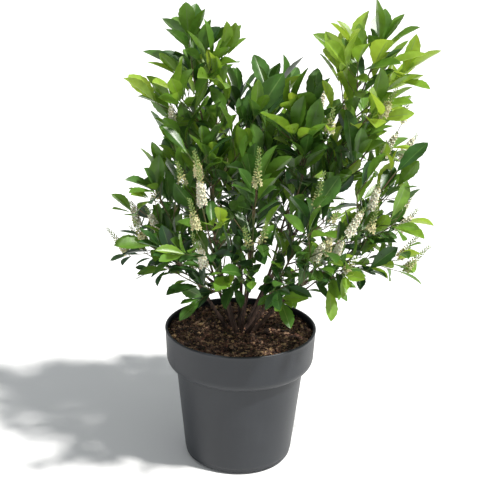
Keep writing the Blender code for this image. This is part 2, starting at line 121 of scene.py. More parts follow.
# Pot
# A dark grey nursery pot, injection moulded in matt polypropylene: a tapered wall with a rounded foot, a deep
# stepped collar with a thin bead at its rim, and low drain notches pressed up into the foot.
POT_HEIGHT = 0.220
RIM_RADIUS = 0.120
RIM_LIP = 0.0042
BEAD = 0.0006
COLLAR_RADIUS = 0.1175
COLLAR_LEVEL = 0.1735
COLLAR_EDGE = 0.0012
SHOULDER_RADIUS = 0.100
SHOULDER_LEVEL = 0.157
SHOULDER_EDGE = 0.0005
FOOT_RADIUS = 0.0875
CHINE_RADIUS = 0.016
WALL = 0.0022
POT_FLOOR = 2.2 * WALL
POT_POLE = 0.002
POT_SIDES = 288
SHARP_ANGLE = 50
OVAL, LOBES, LOBES_FROM = 0.00025, 0.00012, 0.02
NOTCH_BEARINGS = (308, 68, 188)
NOTCH_WIDTH = 0.040
NOTCH_HEIGHT = 0.0062
NOTCH_REACH = 0.0685
SOIL_LEVEL = 0.209
POT_GREY = (0.019, 0.022, 0.027)
POT_DUST = (0.036, 0.040, 0.046)
SPLASH_HEIGHT = 0.055


class Wire:
    """A shader socket. An expression on it adds the Math nodes that work the expression out."""

    def __init__(self, tree, socket):
        self.tree, self.socket = tree, socket

    def worked(self, operation, first, second):
        node = self.tree.nodes.new("ShaderNodeMath")
        node.operation = operation
        for socket, value in zip(node.inputs, (first, second)):
            if isinstance(value, Wire):
                self.tree.links.new(value.socket, socket)
            else:
                socket.default_value = value
        return Wire(self.tree, node.outputs[0])

    def __add__(self, other):
        return self.worked("ADD", self, other)

    def __mul__(self, other):
        return self.worked("MULTIPLY", self, other)

    def __rsub__(self, other):
        return self.worked("SUBTRACT", other, self)

    __radd__, __rmul__ = __add__, __mul__


class Finish:
    """A procedural material: its shader's plain numbers, and nodes for what varies over the surface."""

    def __init__(self, name, colour, roughness, plain=()):
        self.material = bpy.data.materials.new(name)
        self.material.use_nodes = True
        self.material.diffuse_color = (*colour, 1.0)
        self.tree = self.material.node_tree
        self.shader = self.tree.nodes["Principled BSDF"]
        for socket, value in {"Base Color": colour, "Roughness": roughness, **dict(plain)}.items():
            self.set(socket, value)

    def join(self, value, socket):
        if isinstance(value, Wire):
            self.tree.links.new(value.socket, socket)
        elif isinstance(value, tuple) and socket.type == "RGBA":
            socket.default_value = (*value, 1.0)
        else:
            socket.default_value = value

    def set(self, socket, value):
        self.join(value, self.shader.inputs[socket])

    def node(self, kind, settings=(), inputs=(), output=0):
        """Adds a node of a kind: first its settings, then the values or links of its sockets."""
        made = self.tree.nodes.new("ShaderNode" + kind)
        for name, value in dict(settings).items():
            setattr(made, name, value)
        for name, value in dict(inputs).items():
            self.join(value, made.inputs[name])
        return Wire(self.tree, made.outputs[output])

    def noise(self, scale, detail=3.0, stretch=(1.0, 1.0, 1.0)):
        """Noise from 0 to 1 on the object's own coordinates, with a scale in turns for each metre."""
        place = self.node("TexCoord", output="Object")
        spread = self.node("Mapping", inputs={"Vector": place, "Scale": stretch})
        return self.node("TexNoise", inputs={"Vector": spread, "Scale": scale, "Detail": detail})

    def stepped(self, value, low, high):
        """0 under low, 1 over high, and a smooth rise between them."""
        settings = {"interpolation_type": "SMOOTHSTEP"}
        return self.node("MapRange", settings, {"Value": value, "From Min": low, "From Max": high})

    def shade(self, share, first, second):
        """The base colour goes from the first colour to the second as the share goes from 0 to 1."""
        inputs = {0: share, 6: first, 7: second}
        self.set("Base Color", self.node("Mix", {"data_type": "RGBA"}, inputs, output=2))

    def bump(self, height, distance, strength=1.0):
        inputs = {"Height": height, "Distance": distance, "Strength": strength}
        self.set("Normal", self.node("Bump", inputs=inputs))


def grid_faces(rows, columns, closed=False):
    """The four-sided faces of a grid of points in rows; in a closed grid the last column meets the first."""
    last = columns if closed else columns - 1
    row, column = np.meshgrid(np.arange(rows - 1), np.arange(last), indexing="ij")
    here, after = row * columns + column, row * columns + (column + 1) % columns
    return np.stack([here, after, after + columns, here + columns], axis=-1).reshape(-1, 4)


def capped_faces(rows, columns):
    """The faces of a closed grid, and a flat face over its first row and over its last."""
    edge = np.arange(columns)
    return [grid_faces(rows, columns, True), np.stack([edge[::-1], edge + (rows - 1) * columns])]


def round_points(reach, angle, height):
    """Points at a reach from the middle, at an angle round it and at a height."""
    return np.stack(np.broadcast_arrays(reach * np.cos(angle), reach * np.sin(angle), height), axis=-1)


def make_piece(name, points, faces, finishes, picks=None, stands_for=(), flat=False):
    """One piece from an array of points and arrays of faces. The picks say which finish each face has."""
    points = np.asarray(points, dtype=np.float32).reshape(-1, 3)
    mesh = bpy.data.meshes.new(name)
    mesh.vertices.add(len(points))
    mesh.vertices.foreach_set("co", points.ravel())
    corners = np.concatenate([group.ravel() for group in faces])
    sizes = np.concatenate([np.full(len(group), group.shape[1]) for group in faces])
    mesh.loops.add(len(corners))
    mesh.loops.foreach_set("vertex_index", corners.astype(np.int32))
    mesh.polygons.add(len(sizes))
    mesh.polygons.foreach_set("loop_start", (np.cumsum(sizes) - sizes).astype(np.int32))
    for finish in finishes:
        mesh.materials.append(finish.material)
    if picks is not None:
        mesh.polygons.foreach_set("material_index", np.asarray(picks, dtype=np.int32))
    mesh.polygons.foreach_set("use_smooth", np.full(len(sizes), not flat))
    mesh.update(calc_edges=True)
    mesh.validate()
    piece = bpy.data.objects.new(name, mesh)
    bpy.context.scene.collection.objects.link(piece)
    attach(piece, "root")
    if stands_for:
        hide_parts(*stands_for)
    return piece


def inner_radius(height):
    """The radius of the pot's inside at a height."""
    levels = (WALL, SHOULDER_LEVEL, COLLAR_LEVEL, POT_HEIGHT)
    radii = (FOOT_RADIUS, SHOULDER_RADIUS, COLLAR_RADIUS, RIM_RADIUS)
    return np.interp(height, levels, radii) - WALL


def pot_profile():
    """Radius and height from the middle of the underside, out round the foot, up the wall, out under the
    collar, up to the rim, over it and down the inside to the middle of the floor. An arc adds its radius
    times the cosine and sine of the angle from the outward way."""

    def arc(radius_at, height_at, radius, start, end, count):
        angle = np.radians(np.linspace(start, end, count))
        return np.stack([radius_at + radius * np.cos(angle), height_at + radius * np.sin(angle)], axis=1)

    def straight(first, last, count):
        return np.linspace(first, last, count + 1)[1:]

    chine = arc(FOOT_RADIUS - CHINE_RADIUS, CHINE_RADIUS, CHINE_RADIUS, -90, -4, 16)
    hollow = COLLAR_RADIUS - SHOULDER_RADIUS - SHOULDER_EDGE
    step = arc(SHOULDER_RADIUS + SHOULDER_EDGE, COLLAR_LEVEL, hollow, -84, -6, 12)
    collar = np.array([[COLLAR_RADIUS, COLLAR_LEVEL + COLLAR_EDGE]])
    under_lip = np.array([RIM_RADIUS - BEAD, POT_HEIGHT - RIM_LIP - BEAD])
    lip = arc(RIM_RADIUS - RIM_LIP / 2, POT_HEIGHT - RIM_LIP / 2, RIM_LIP / 2, -20, 180, 14)
    levels = np.array([POT_HEIGHT - 1.4 * RIM_LIP, SOIL_LEVEL, COLLAR_LEVEL, SHOULDER_LEVEL, POT_FLOOR])
    return np.concatenate([
        [[POT_POLE, 0.0], [0.5 * FOOT_RADIUS, 0.0], [NOTCH_REACH, 0.0]], chine,
        straight(chine[-1], step[0], 26), step[1:], collar, straight(collar[0], under_lip, 14), lip,
        np.stack([inner_radius(levels), levels], axis=1), [[POT_POLE, POT_FLOOR]],
    ])


def notched(reach, turn, height):
    """Raises the foot to each notch's roof, level over its middle and falling in a round at each end."""
    for bearing in NOTCH_BEARINGS:
        away = (turn - math.radians(bearing) + math.pi) % (2.0 * math.pi) - math.pi
        from_middle = np.abs(away) * FOOT_RADIUS / (NOTCH_WIDTH / 2)
        roof = NOTCH_HEIGHT * np.clip(1.0 - from_middle**6, 0.0, 1.0) ** 0.5
        inside = (reach > 0.99 * NOTCH_REACH) & (height < NOTCH_HEIGHT) & (from_middle < 1.0)
        height = np.where(inside, np.maximum(height, roof), height)
    return height


profile = pot_profile()
is_outside = np.arange(len(profile)) < np.argmax(profile[:, 1])
turns = np.linspace(0.0, 2.0 * math.pi, POT_SIDES, endpoint=False)
reach, turn = np.meshgrid(profile[:, 0], turns, indexing="ij")
height = np.repeat(profile[:, 1][:, None], POT_SIDES, axis=1)
height = np.where(is_outside[:, None], notched(reach, turn, height), height)
waver = OVAL * np.sin(3 * turn + 1.0) * height / POT_HEIGHT
waver = waver + LOBES * np.sin(7 * turn) * (height > LOBES_FROM)

pot_plastic = Finish("pot_plastic", POT_GREY, 0.46, {"Specular IOR Level": 0.42})
cloud = pot_plastic.noise(14.0, 4.0)
runs = pot_plastic.noise(60.0, 3.0, (1.0, 1.0, 0.12))
grain = pot_plastic.noise(1500.0, 2.0)
scuff = pot_plastic.stepped(pot_plastic.noise(90.0, 6.0, (1.0, 1.0, 3.0)), 0.64, 0.74)
place = pot_plastic.node("TexCoord", output="Object")
level = pot_plastic.node("SeparateXYZ", inputs={"Vector": place}, output=2)
splash = 1.0 - pot_plastic.stepped(level, 0.0, SPLASH_HEIGHT)
dust = pot_plastic.stepped(cloud, 0.42, 0.72) * 0.35 + pot_plastic.stepped(runs, 0.5, 0.8) * 0.22
dust = dust + splash * 0.25 + scuff * 0.20
pot_plastic.shade(dust, POT_GREY, POT_DUST)
pot_plastic.set("Roughness", dust * 0.18 + grain * 0.10 + 0.38)
pot_plastic.bump(grain * 0.7 + runs * 0.6 + cloud * 1.5, 0.0003, 0.55)
pot = make_piece("pot_body", round_points(reach + waver, turn, height), capped_faces(len(profile), POT_SIDES),
                 [pot_plastic], stands_for=("pot",))
pot.data.set_sharp_from_angle(angle=math.radians(SHARP_ANGLE))

# Growing medium
# Composted fines under a mulch of bark chips: a hummocky top just below the rim, and joined over it thousands
# of split, angular chips and crumbs in several browns, lying as they fell.
SOIL_RADIUS = 0.1170
SOIL_RINGS, SOIL_SPOKES = 46, 160
SOIL_POLE = 0.0004
SOIL_DIP, SOIL_RIPPLE = 0.0012, 0.0013
MOUND_HEIGHT, MOUND_REACH = 0.0022, 0.035
GAP = 0.0003
FINES_BROWNS = (0.022, 0.013, 0.009), (0.012, 0.007, 0.005), (0.060, 0.034, 0.020)
MULCH_SEED = 31
SHARD_CORNERS = (0.62, 1.12)
SHARD_TOP = 0.82
SHARD_UNEVEN = 0.35
SHARD_LEAN = (0.22, 0.28)
SHARD_SEAT = 0.35

# For each size of bark: how many pieces, their least and greatest length, width and thickness, and how high
# one may lie on others.
MULCH = {
    "bark_chips": (2300, (0.006, 0.016), (0.0030, 0.0075), (0.0008, 0.0024), 0.0040),
    "bark_crumbs": (3600, (0.0022, 0.0058), (0.0012, 0.0032), (0.0006, 0.0016), 0.0048),
}
CHIP_BROWNS = {
    "chip_dark": (0.036, 0.018, 0.012),
    "chip_brown": (0.105, 0.054, 0.032),
    "chip_red": (0.190, 0.090, 0.056),
    "chip_tan": (0.360, 0.220, 0.140),
    "chip_gold": (0.480, 0.310, 0.160),
}
CHIP_SHARES = (0.30, 0.32, 0.18, 0.13, 0.07)


def tinted(colour, share):
    """A colour made darker or paler by a share, and no brighter than white."""
    return tuple(min(1.0, share * channel) for channel in colour)


def soil_height(x, y):
    """Two crossed sine ripples and a finer one over the level, and a low mound round the stems that falls
    off as an exponential of the reach squared."""
    ripple = np.sin(97 * x + 3) * np.cos(113 * y) + 0.6 * np.sin(181 * (x - y))
    ripple = ripple + 0.5 * np.sin(313 * x) * np.sin(290 * y)
    mound = MOUND_HEIGHT * np.exp(-((np.hypot(x, y) / MOUND_REACH) ** 2))
    return SOIL_LEVEL - SOIL_DIP + SOIL_RIPPLE * ripple + mound


def turning(angle, axis):
    """Matrices that turn points about an axis, with each angle's cosine and sine on the other two axes."""
    first, second = (axis + 1) % 3, (axis + 2) % 3
    turned = np.zeros((len(angle), 3, 3))
    turned[:, axis, axis] = 1.0
    turned[:, first, first] = turned[:, second, second] = np.cos(angle)
    turned[:, first, second], turned[:, second, first] = -np.sin(angle), np.sin(angle)
    return turned


def copied_faces(faces, count, corners):
    """A shape's faces once for each of its copies, which have so many corners each."""
    return ((np.arange(count) * corners)[:, None, None] + faces).reshape(-1, faces.shape[-1])


def mulch(random, count, long, wide, thick, lift):
    """Bark as six-cornered shards: an oval ring of six corners, moved at random, on an upper and a lower
    level that lean apart. Each is turned, tipped and laid on the ground."""
    long, wide, thick = (random.uniform(*span, count) for span in (long, wide, thick))
    reach = (SOIL_RADIUS - 0.5 * long.mean()) * np.sqrt(random.uniform(0.0, 1.0, count))
    bearing = random.uniform(0.0, 2.0 * math.pi, count)
    x, y = reach * np.cos(bearing), reach * np.sin(bearing)
    ring = np.arange(6) * math.pi / 3
    corner = np.stack([np.cos(ring), np.sin(ring)], axis=-1) * random.uniform(*SHARD_CORNERS, (count, 6, 1))
    corner[..., 0] *= long[:, None] / 2
    corner[..., 1] *= wide[:, None] / 2
    shards = np.empty((count, 2, 6, 3))
    shards[..., :2] = corner[:, None] * np.array([1.0, SHARD_TOP])[None, :, None, None]
    shards[..., 2] = np.array([-0.5, 0.5])[None, :, None] * thick[:, None, None]
    shards[:, 1, :, 2] += random.uniform(-SHARD_UNEVEN, SHARD_UNEVEN, (count, 6)) * thick[:, None]
    yaw = random.uniform(0, 2 * math.pi, count)
    tip, lean = (random.normal(0, spread, count) for spread in SHARD_LEAN)
    whole = turning(yaw, 2) @ turning(tip, 1) @ turning(lean, 0)
    shards = np.einsum("nij,nkj->nki", whole, shards.reshape(count, 12, 3))
    ground = soil_height(x, y) + thick * SHARD_SEAT + random.uniform(0.0, 1.0, count) ** 2 * lift
    shards += np.stack([x, y, ground], axis=-1)[:, None]
    side = np.arange(6)
    sides = np.stack([side, (side + 1) % 6, (side + 1) % 6 + 6, side + 6], axis=-1)
    ends = np.stack([side[::-1], side + 6])
    return shards, [copied_faces(sides, count, 12), copied_faces(ends, count, 12)]


soil_rings = np.maximum(np.linspace(0.0, 1.0, SOIL_RINGS) * SOIL_RADIUS, SOIL_POLE)
soil_turns = np.linspace(0, 2 * math.pi, SOIL_SPOKES, endpoint=False)
reach, turn = np.meshgrid(soil_rings, soil_turns, indexing="ij")
soil_top = round_points(reach, turn, soil_height(reach * np.cos(turn), reach * np.sin(turn)))[::-1]
levels = np.array([POT_FLOOR + GAP, SHOULDER_LEVEL, COLLAR_LEVEL])
soil_wall = round_points((inner_radius(levels) - GAP)[:, None], soil_turns, levels[:, None])
soil_points = np.concatenate([soil_wall, soil_top])
fines = Finish("composted_fines", FINES_BROWNS[0], 0.95)
crumbs = fines.noise(420.0, 5.0)
fines.shade(fines.stepped(crumbs, 0.4, 0.75), *FINES_BROWNS[1:])
fines.bump(crumbs, 0.002)
make_piece("growing_medium_fines", soil_points, capped_faces(len(soil_points), SOIL_SPOKES), [fines],
           stands_for=("growing_medium",))

chip_finishes = []
for name, brown in CHIP_BROWNS.items():
    chip = Finish(name, brown, 0.82)
    fibre = chip.noise(700.0, 4.0, (1.0, 0.25, 1.0))
    chip.shade(chip.stepped(fibre, 0.35, 0.75), tinted(brown, 0.55), tinted(brown, 1.7))
    chip.bump(fibre, 0.0006)
    chip_finishes.append(chip)
random = np.random.default_rng(MULCH_SEED)
beds = [mulch(random, *bed) for bed in MULCH.values()]
for name, (shards, faces) in zip(MULCH, beds):
    kind = random.choice(len(CHIP_SHARES), len(shards), p=CHIP_SHARES)
    kinds = np.concatenate([np.repeat(kind, 6), np.repeat(kind, 2)])
    make_piece(name, shards, faces, chip_finishes, kinds, flat=True)

# Stems and boughs
# Eleven woody stems from one clump, and the boughs that fork off them: brown bark with lengthwise ridges and
# rings where old leaves sat, a flared foot in the mulch, and a swollen collar at each fork.
UP = np.array([0.0, 0.0, 1.0])
CLUMP_BACK = 0.008
FOOT_SPACING = 0.0098
FOOT_STEP = 0.0005
STEM_BEND, STEM_BEND_RISE = 0.50, 0.42
BOUGH_BEND, BOUGH_SAG = 0.45, 0.16
SWAY, SWAY_WAVES = 0.015, 2.2
LIMB_RADIUS = (0.0018, 0.0048)
LIMB_TIP_SHARE = 0.62
LIMB_POINTS = 81
LIMB_SEGMENT = 0.035
LIMB_SIDES = 14
LIMB_RING = 0.0026
FLARE_SHARE, FLARE_HEIGHT = 0.40, 0.008
FLAT_SHARE = 0.93
SEAT_REACH, SEAT_STEP, SEAT_SIDES = 0.04, 0.0001, 24
FORK_SINK, STEM_SINK = 0.0045, 0.004
LIMB_OVERLAP = 0.0008
BARK_TWIST = 9.0
NODE_SWELL, NODE_SPACING, NODE_LENGTH = 0.13, 0.026, 0.0016
FORK_COLLAR, FOOT_COLLAR, COLLAR_LENGTH = 0.55, 0.25, 0.006
BARK_BROWNS = (0.050, 0.028, 0.020), (0.022, 0.012, 0.009), (0.105, 0.060, 0.042)

# For each leader: the stem that it forks from and at what share of it, its tip's bearing (0 is the right, 90
# the back), reach and rise over the growing medium, its bare share, its flowering side shoots, and whether it
# ends in blossom.
LEADERS = {
    "tall_left": (None, 0.0, 174, 0.085, 0.455, 0.42, 0, False),
    "tall_right": (None, 0.0, 354, 0.195, 0.460, 0.40, 0, False),
    "crown_middle": (None, 0.0, 20, 0.040, 0.380, 0.32, 1, False),
    "left": (None, 0.0, 186, 0.145, 0.260, 0.32, 2, False),
    "right": (None, 0.0, 348, 0.230, 0.280, 0.34, 2, False),
    "front": (None, 0.0, 278, 0.130, 0.270, 0.30, 2, True),
    "front_left": (None, 0.0, 246, 0.140, 0.240, 0.30, 2, True),
    "front_right": (None, 0.0, 307, 0.165, 0.240, 0.30, 2, True),
    "back": (None, 0.0, 95, 0.110, 0.340, 0.32, 1, False),
    "back_left": (None, 0.0, 135, 0.155, 0.260, 0.30, 1, True),
    "back_right": (None, 0.0, 50, 0.185, 0.300, 0.30, 1, True),
    "crown_right": ("tall_right", 0.30, 344, 0.105, 0.365, 0.25, 1, False),
    "crown_left": ("tall_left", 0.32, 225, 0.080, 0.300, 0.22, 1, False),
    "crown_back": ("crown_middle", 0.28, 100, 0.070, 0.365, 0.22, 1, False),
    "upper_right": ("tall_right", 0.36, 8, 0.220, 0.340, 0.22, 0, False),
    "low_left": ("left", 0.28, 205, 0.110, 0.170, 0.20, 1, True),
    "foot_left": ("left", 0.20, 168, 0.095, 0.110, 0.25, 0, False),
    "far_right": ("right", 0.30, 0, 0.245, 0.210, 0.22, 1, False),
    "low_right": ("right", 0.24, 330, 0.150, 0.165, 0.22, 1, True),
    "foot_right": ("right", 0.18, 352, 0.130, 0.105, 0.30, 0, False),
    "low_front": ("front_left", 0.26, 262, 0.110, 0.155, 0.25, 1, True),
    "low_corner": ("front_right", 0.24, 298, 0.115, 0.145, 0.25, 1, False),
    "low_back": ("back", 0.26, 105, 0.165, 0.185, 0.22, 1, True),
    "low_back_left": ("back_left", 0.24, 150, 0.145, 0.150, 0.22, 1, False),
    "low_back_right": ("back_right", 0.24, 60, 0.175, 0.170, 0.22, 1, True),
}


def graded(pair, share):
    """A value that starts at the pair's first number and has gained its second where the share is 1."""
    return pair[0] + pair[1] * share


def unit(vector):
    return vector / np.linalg.norm(vector, axis=-1, keepdims=True)


def polar(bearing, reach, height):
    """The point at a bearing in degrees and a reach from the middle of the clump."""
    angle = math.radians(bearing)
    return np.array([reach * math.cos(angle), CLUMP_BACK + reach * math.sin(angle), height])


def outwards(point):
    """The level direction from the middle of the clump to a point."""
    return unit((point - polar(0, 0, 0)) * [1.0, 1.0, 0.0])


def curve_of(start, bend, end, count):
    """Points on the quadratic curve from start to end that is drawn towards bend."""
    t = np.linspace(0.0, 1.0, count)[:, None]
    return (1 - t) ** 2 * start + 2 * t * (1 - t) * bend + t**2 * end


def run_of(line):
    """The length along a line up to each of its points."""
    return np.concatenate([[0.0], np.cumsum(np.linalg.norm(np.diff(line, axis=0), axis=1))])


def at_run(line, lengths):
    """The points at the given lengths along a line."""
    run = run_of(line)
    return np.stack([np.interp(lengths, run, line[:, axis]) for axis in range(3)], axis=-1)


def at_share(line, share):
    """The point at a share of a line's length, and the line's direction there."""
    run = run_of(line)
    segment = min(max(int(np.searchsorted(run, share * run[-1])) - 1, 0), len(line) - 2)
    return at_run(line, share * run[-1]), unit(line[segment + 1] - line[segment])


def cut_line(line, start, end, count):
    """The stretch of a line between two lengths along it, with evenly spaced points."""
    return at_run(line, np.linspace(start, end, count))


def across(way):
    """Two unit vectors square to a direction and to each other."""
    first = np.cross(way, UP)
    if np.linalg.norm(first) < 0.2:
        first = np.cross(way, [1.0, 0.0, 0.0])
    first = unit(first)
    return first, np.cross(first, way)


def aside(way, turn):
    """The unit vector square to a direction, at a turn round it."""
    first, second = across(way)
    return math.cos(turn) * first + math.sin(turn) * second


def distances(points, lines):
    """How far each point is from each of several lines, as an array with a row for each line."""
    start, step = lines[:, :-1], np.diff(lines, axis=1)
    offset = points[None, :, None] - start[:, None]
    share = np.clip((offset * step[:, None]).sum(-1) / (step * step).sum(-1)[:, None], 0.0, 1.0)
    return np.linalg.norm(offset - share[..., None] * step[:, None], axis=-1).min(axis=-1)


def clearance(points, line):
    """How near the nearest of the points is to a line."""
    return distances(points, line[None]).min()


def swayed(line, turn):
    """A line with a slight double bend to one side and back, which leaves its two ends where they are."""
    t = np.linspace(0.0, 1.0, len(line))
    bend = SWAY * run_of(line)[-1] * np.sin(np.pi * t) * np.sin(SWAY_WAVES * np.pi * t)
    return line + bend[:, None] * aside(unit(line[-1] - line[0]), turn)


def foot_radius(line):
    """A longer limb is thicker at its foot."""
    return graded(LIMB_RADIUS, run_of(line)[-1])


def tip_radius(line):
    """The radius where a limb's bare stretch ends and its leader begins."""
    return LIMB_TIP_SHARE * foot_radius(line)


def bare_stretch(line, bare, is_stem):
    """The points and radii of a leader's bare limb, which tapers and, where it leaves the ground, has a
    flared foot: a share of the radius that falls off as an exponential of the height."""
    length = bare * run_of(line)[-1]
    count = 4 + round(length / LIMB_SEGMENT)
    runs = length * np.linspace(0.0, 1.0, count) ** (1.4 if is_stem else 1.0)
    radii = foot_radius(line) + (tip_radius(line) - foot_radius(line)) * runs / length
    if is_stem:
        radii = radii * (1.0 + FLARE_SHARE * np.exp(-runs / FLARE_HEIGHT))
    return at_run(line, runs), radii


def seated(line, bare, carrier, stem, stem_radii):
    """A bough's line from where the edge of its flat end just clears the stem that carries it."""
    stem_radius = stem_radii[np.linalg.norm(stem - line[0], axis=1).argmin()]
    for offset in np.arange(0.0, SEAT_REACH, SEAT_STEP):
        cut = cut_line(line, offset, run_of(line)[-1], LIMB_POINTS)
        points, radii = bare_stretch(cut, bare, False)
        first, second = across(unit(points[1] - points[0]))
        angles = np.linspace(0.0, 2.0 * math.pi, SEAT_SIDES)[:, None]
        edge = points[0] + FLAT_SHARE * radii[0] * (np.cos(angles) * first + np.sin(angles) * second)
        if min(clearance(edge, stem), clearance(edge, carrier)) > FLAT_SHARE * stem_radius + GAP:
            return cut
    return line


def leader_lines():
    """The middle line of every leader from its foot to its tip: the stems with their feet packed into one
    clump, and the boughs from just outside the stem that each forks from."""
    lines = {}
    stems = [name for name, row in LEADERS.items() if row[0] is None]
    for name in sorted(stems, key=lambda name: LEADERS[name][3] / LEADERS[name][4]):
        _, _, bearing, reach, rise, *_ = LEADERS[name]
        tip = polar(bearing, reach, SOIL_LEVEL + rise)
        foot = 0.0
        while True:
            base = polar(bearing, foot, SOIL_LEVEL + GAP)
            bend = polar(bearing, foot + STEM_BEND * (reach - foot), SOIL_LEVEL + STEM_BEND_RISE * rise)
            line = swayed(curve_of(base, bend, tip, LIMB_POINTS), bearing)
            if all(clearance(line, other) > FOOT_SPACING for other in lines.values()):
                break
            foot += FOOT_STEP
        lines[name] = line
    for name, (parent, share, bearing, reach, rise, *_) in LEADERS.items():
        if parent is None:
            continue
        start, _ = at_share(lines[parent], share)
        tip = polar(bearing, reach, SOIL_LEVEL + rise)
        out = tip - start
        bend = start + BOUGH_BEND * out - BOUGH_SAG * math.hypot(out[0], out[1]) * UP
        line = swayed(curve_of(start, bend, tip, LIMB_POINTS), bearing)
        stem = bare_stretch(lines[parent], LEADERS[parent][5], True)
        lines[name] = seated(line, LEADERS[name][5], lines[parent], *stem)
    return lines


LINES = leader_lines()
NAMES = list(LEADERS)


def bare_length(name):
    return LEADERS[name][5] * run_of(LINES[name])[-1]


def tube(line, radii, sides):
    """Points on a tube: round each point of the line, its radius times the cosine and sine of the way
    round, in the plane square to the line. The radii may differ from side to side."""
    ways = unit(np.gradient(line, axis=0))
    reference = np.eye(3)[np.abs(ways.mean(axis=0)).argmin()]
    first = unit(np.cross(ways, reference))
    second = np.cross(ways, first)
    angle = 2.0 * math.pi * np.arange(sides) / sides
    spokes = np.cos(angle)[None, :, None] * first[:, None] + np.sin(angle)[None, :, None] * second[:, None]
    return line[:, None] + radii.reshape(len(line), -1, 1) * spokes


def joined(rows):
    """The first parts of all the rows joined into one array, then their second parts, and so on."""
    return [np.concatenate(parts) for parts in zip(*rows)]


def joined_tubes(tubes):
    """The points and faces of tubes with the same number of sides, each closed at both ends."""
    faces, first = [], 0
    for rings in tubes:
        rows, sides = rings.shape[:2]
        faces.append([group + first for group in capped_faces(rows, sides)])
        first += rows * sides
    return np.concatenate([rings.reshape(-1, 3) for rings in tubes]), joined(faces)


def barked_limb(name, number):
    """A limb's radius falls evenly from foot to tip. Lengthwise ridges follow sines of the way round that
    turn slowly along it, a low ring comes every few centimetres, and a fork or foot swells as an
    exponential."""
    parent = LEADERS[name][0]
    line, radii = bare_stretch(LINES[name], LEADERS[name][5], parent is None)
    sink = FORK_SINK if parent else STEM_SINK
    back = line[0] - unit(line[1] - line[0]) * sink
    run = np.concatenate([[0.0], sink + run_of(line)])
    line, radii = np.concatenate([[back], line]), np.concatenate([[radii[0]], radii])
    along = np.linspace(0.0, run[-1] + LIMB_OVERLAP, round(run[-1] / LIMB_RING) + 2)
    place = np.stack([np.interp(along, run, line[:, axis]) for axis in range(3)], axis=-1)
    past = along > sink
    place[past] = at_run(LINES[name], along[past] - sink)
    thick = np.interp(along, run, radii)[:, None]
    along = along[:, None]
    angle = (2.0 * math.pi * np.arange(LIMB_SIDES) / LIMB_SIDES)[None]
    twist, shift = BARK_TWIST * along, 1.7 * number
    ridge = 0.050 * np.sin(3 * (angle + twist) + shift) + 0.035 * np.sin(5 * (angle - 2 * twist) + 2 * shift)
    ridge = ridge + 0.030 * np.sin(2 * angle + 260 * along + shift) * np.sin(410 * along)
    from_node = (along + 0.004 * number) % NODE_SPACING - NODE_SPACING / 2
    node = NODE_SWELL * np.exp(-((from_node / NODE_LENGTH) ** 2))
    collar = (FORK_COLLAR if parent else FOOT_COLLAR) * np.exp(-along / COLLAR_LENGTH)
    return tube(place, thick * (1.0 + ridge + node + collar), LIMB_SIDES)


bark = Finish("brown_bark", BARK_BROWNS[0], 0.86)
strip = bark.noise(260.0, 5.0, (1.0, 1.0, 0.18))
fleck = bark.noise(900.0, 3.0)
bark.shade(bark.stepped(strip * 0.7 + fleck * 0.3, 0.36, 0.66), *BARK_BROWNS[1:])
bark.bump(strip + fleck * 0.4, 0.0012)
limb_nodes = [f"{'bough' if LEADERS[name][0] else 'stem'}_{name}" for name in NAMES]
limb_points, limb_faces = joined_tubes([barked_limb(name, number) for number, name in enumerate(NAMES)])
make_piece("stems_and_boughs", limb_points, limb_faces, [bark], stands_for=limb_nodes)

# Leafy shoots
# Each limb grows on as a leader with side shoots by the golden angle, and these carry short twigs: slim, soft
# wood, green-brown, straight from the bud. They follow the solids' own seeded rule and keep to their space.
GOLDEN_ANGLE = math.radians(137.5)
SEED, TWIG_SEED = 100, 700
SPACE_MARGIN = 0.0022
LIMB_CLEARANCE = 0.0012
BOX_MARGIN = 0.006
OVERHANG = 0.085
LEAF_FLOOR = SOIL_LEVEL + 0.042
LEAF_FLOOR_OUTSIDE = POT_HEIGHT + 0.014
VIGOUR = (0.72, 0.46)
VIGOUR_FROM, VIGOUR_SPAN = 0.04, 0.36
LEADER_TIP_RADIUS = 0.0009
LEADER_SEGMENT = 0.045
SIDE_FOOT_RADIUS, SIDE_TIP_RADIUS, TWIG_TIP_RADIUS = 0.0012, 0.0007, 0.0005
SIDE_POINTS = 3
SIDE_SPACING = 0.034
SIDE_SHARE = (0.03, 0.68)
SIDE_WAY, SIDE_RISE = (0.70, 0.72, 0.15), 0.12
SIDE_LENGTH = (0.104, -0.062)
SIDE_TRIES, SIDE_NUDGE, SIDE_SHORTER = 6, 0.7, 0.12
TWIG_PLACES = (0.22, 0.42, 0.62, 0.82)
TWIG_WAY, TWIG_RISE = (0.72, 0.70, 0.12), 0.10
TWIG_SHARE = 0.48
SPIKE_RADIUS = 0.0072
SPIKE_LENGTH, SPIKE_WAY = (0.040, 0.058), (0.5, 0.7)
LEADER_SPIKE, SIDE_SPIKE, TWIG_SPIKE = 1.15, 0.9, 1.0
LEADER_BARE_FOOT, SIDE_BARE_FOOT, TWIG_BARE_FOOT = 0.012, 0.016, 0.010
BLOOM_BAND = (0.30, 0.60)
BLOOM_SHARE = 0.26
BLOOM_OUT = 0.55
BLOOM_CLEAR, BLOOM_WIDER = 0.013, 0.4
LIGHT_RISE, LIGHT_RUN = 0.25, 0.10
CROWN_SIZE = (0.25, 0.22, 0.30)
LEAF_LENGTH = 0.060 * 0.90
LEAF_SPACING = 0.0150
LEAF_WIDEST = 0.56
LEAF_KEEL = 0.05
LEAF_DROOP = 0.08
BLADE_HALF = 0.0006
LEAF_WAY_UP, LEAF_FACE = 0.10, (0.75, 0.55)
LEAF_SLIMNESS = (0.33, 0.08)
LEAF_TRIES = ((0.0, 1.0), (0.5, 0.95), (-0.5, 0.95), (1.0, 0.85), (-1.0, 0.85), (1.6, 0.75), (-1.6, 0.7))
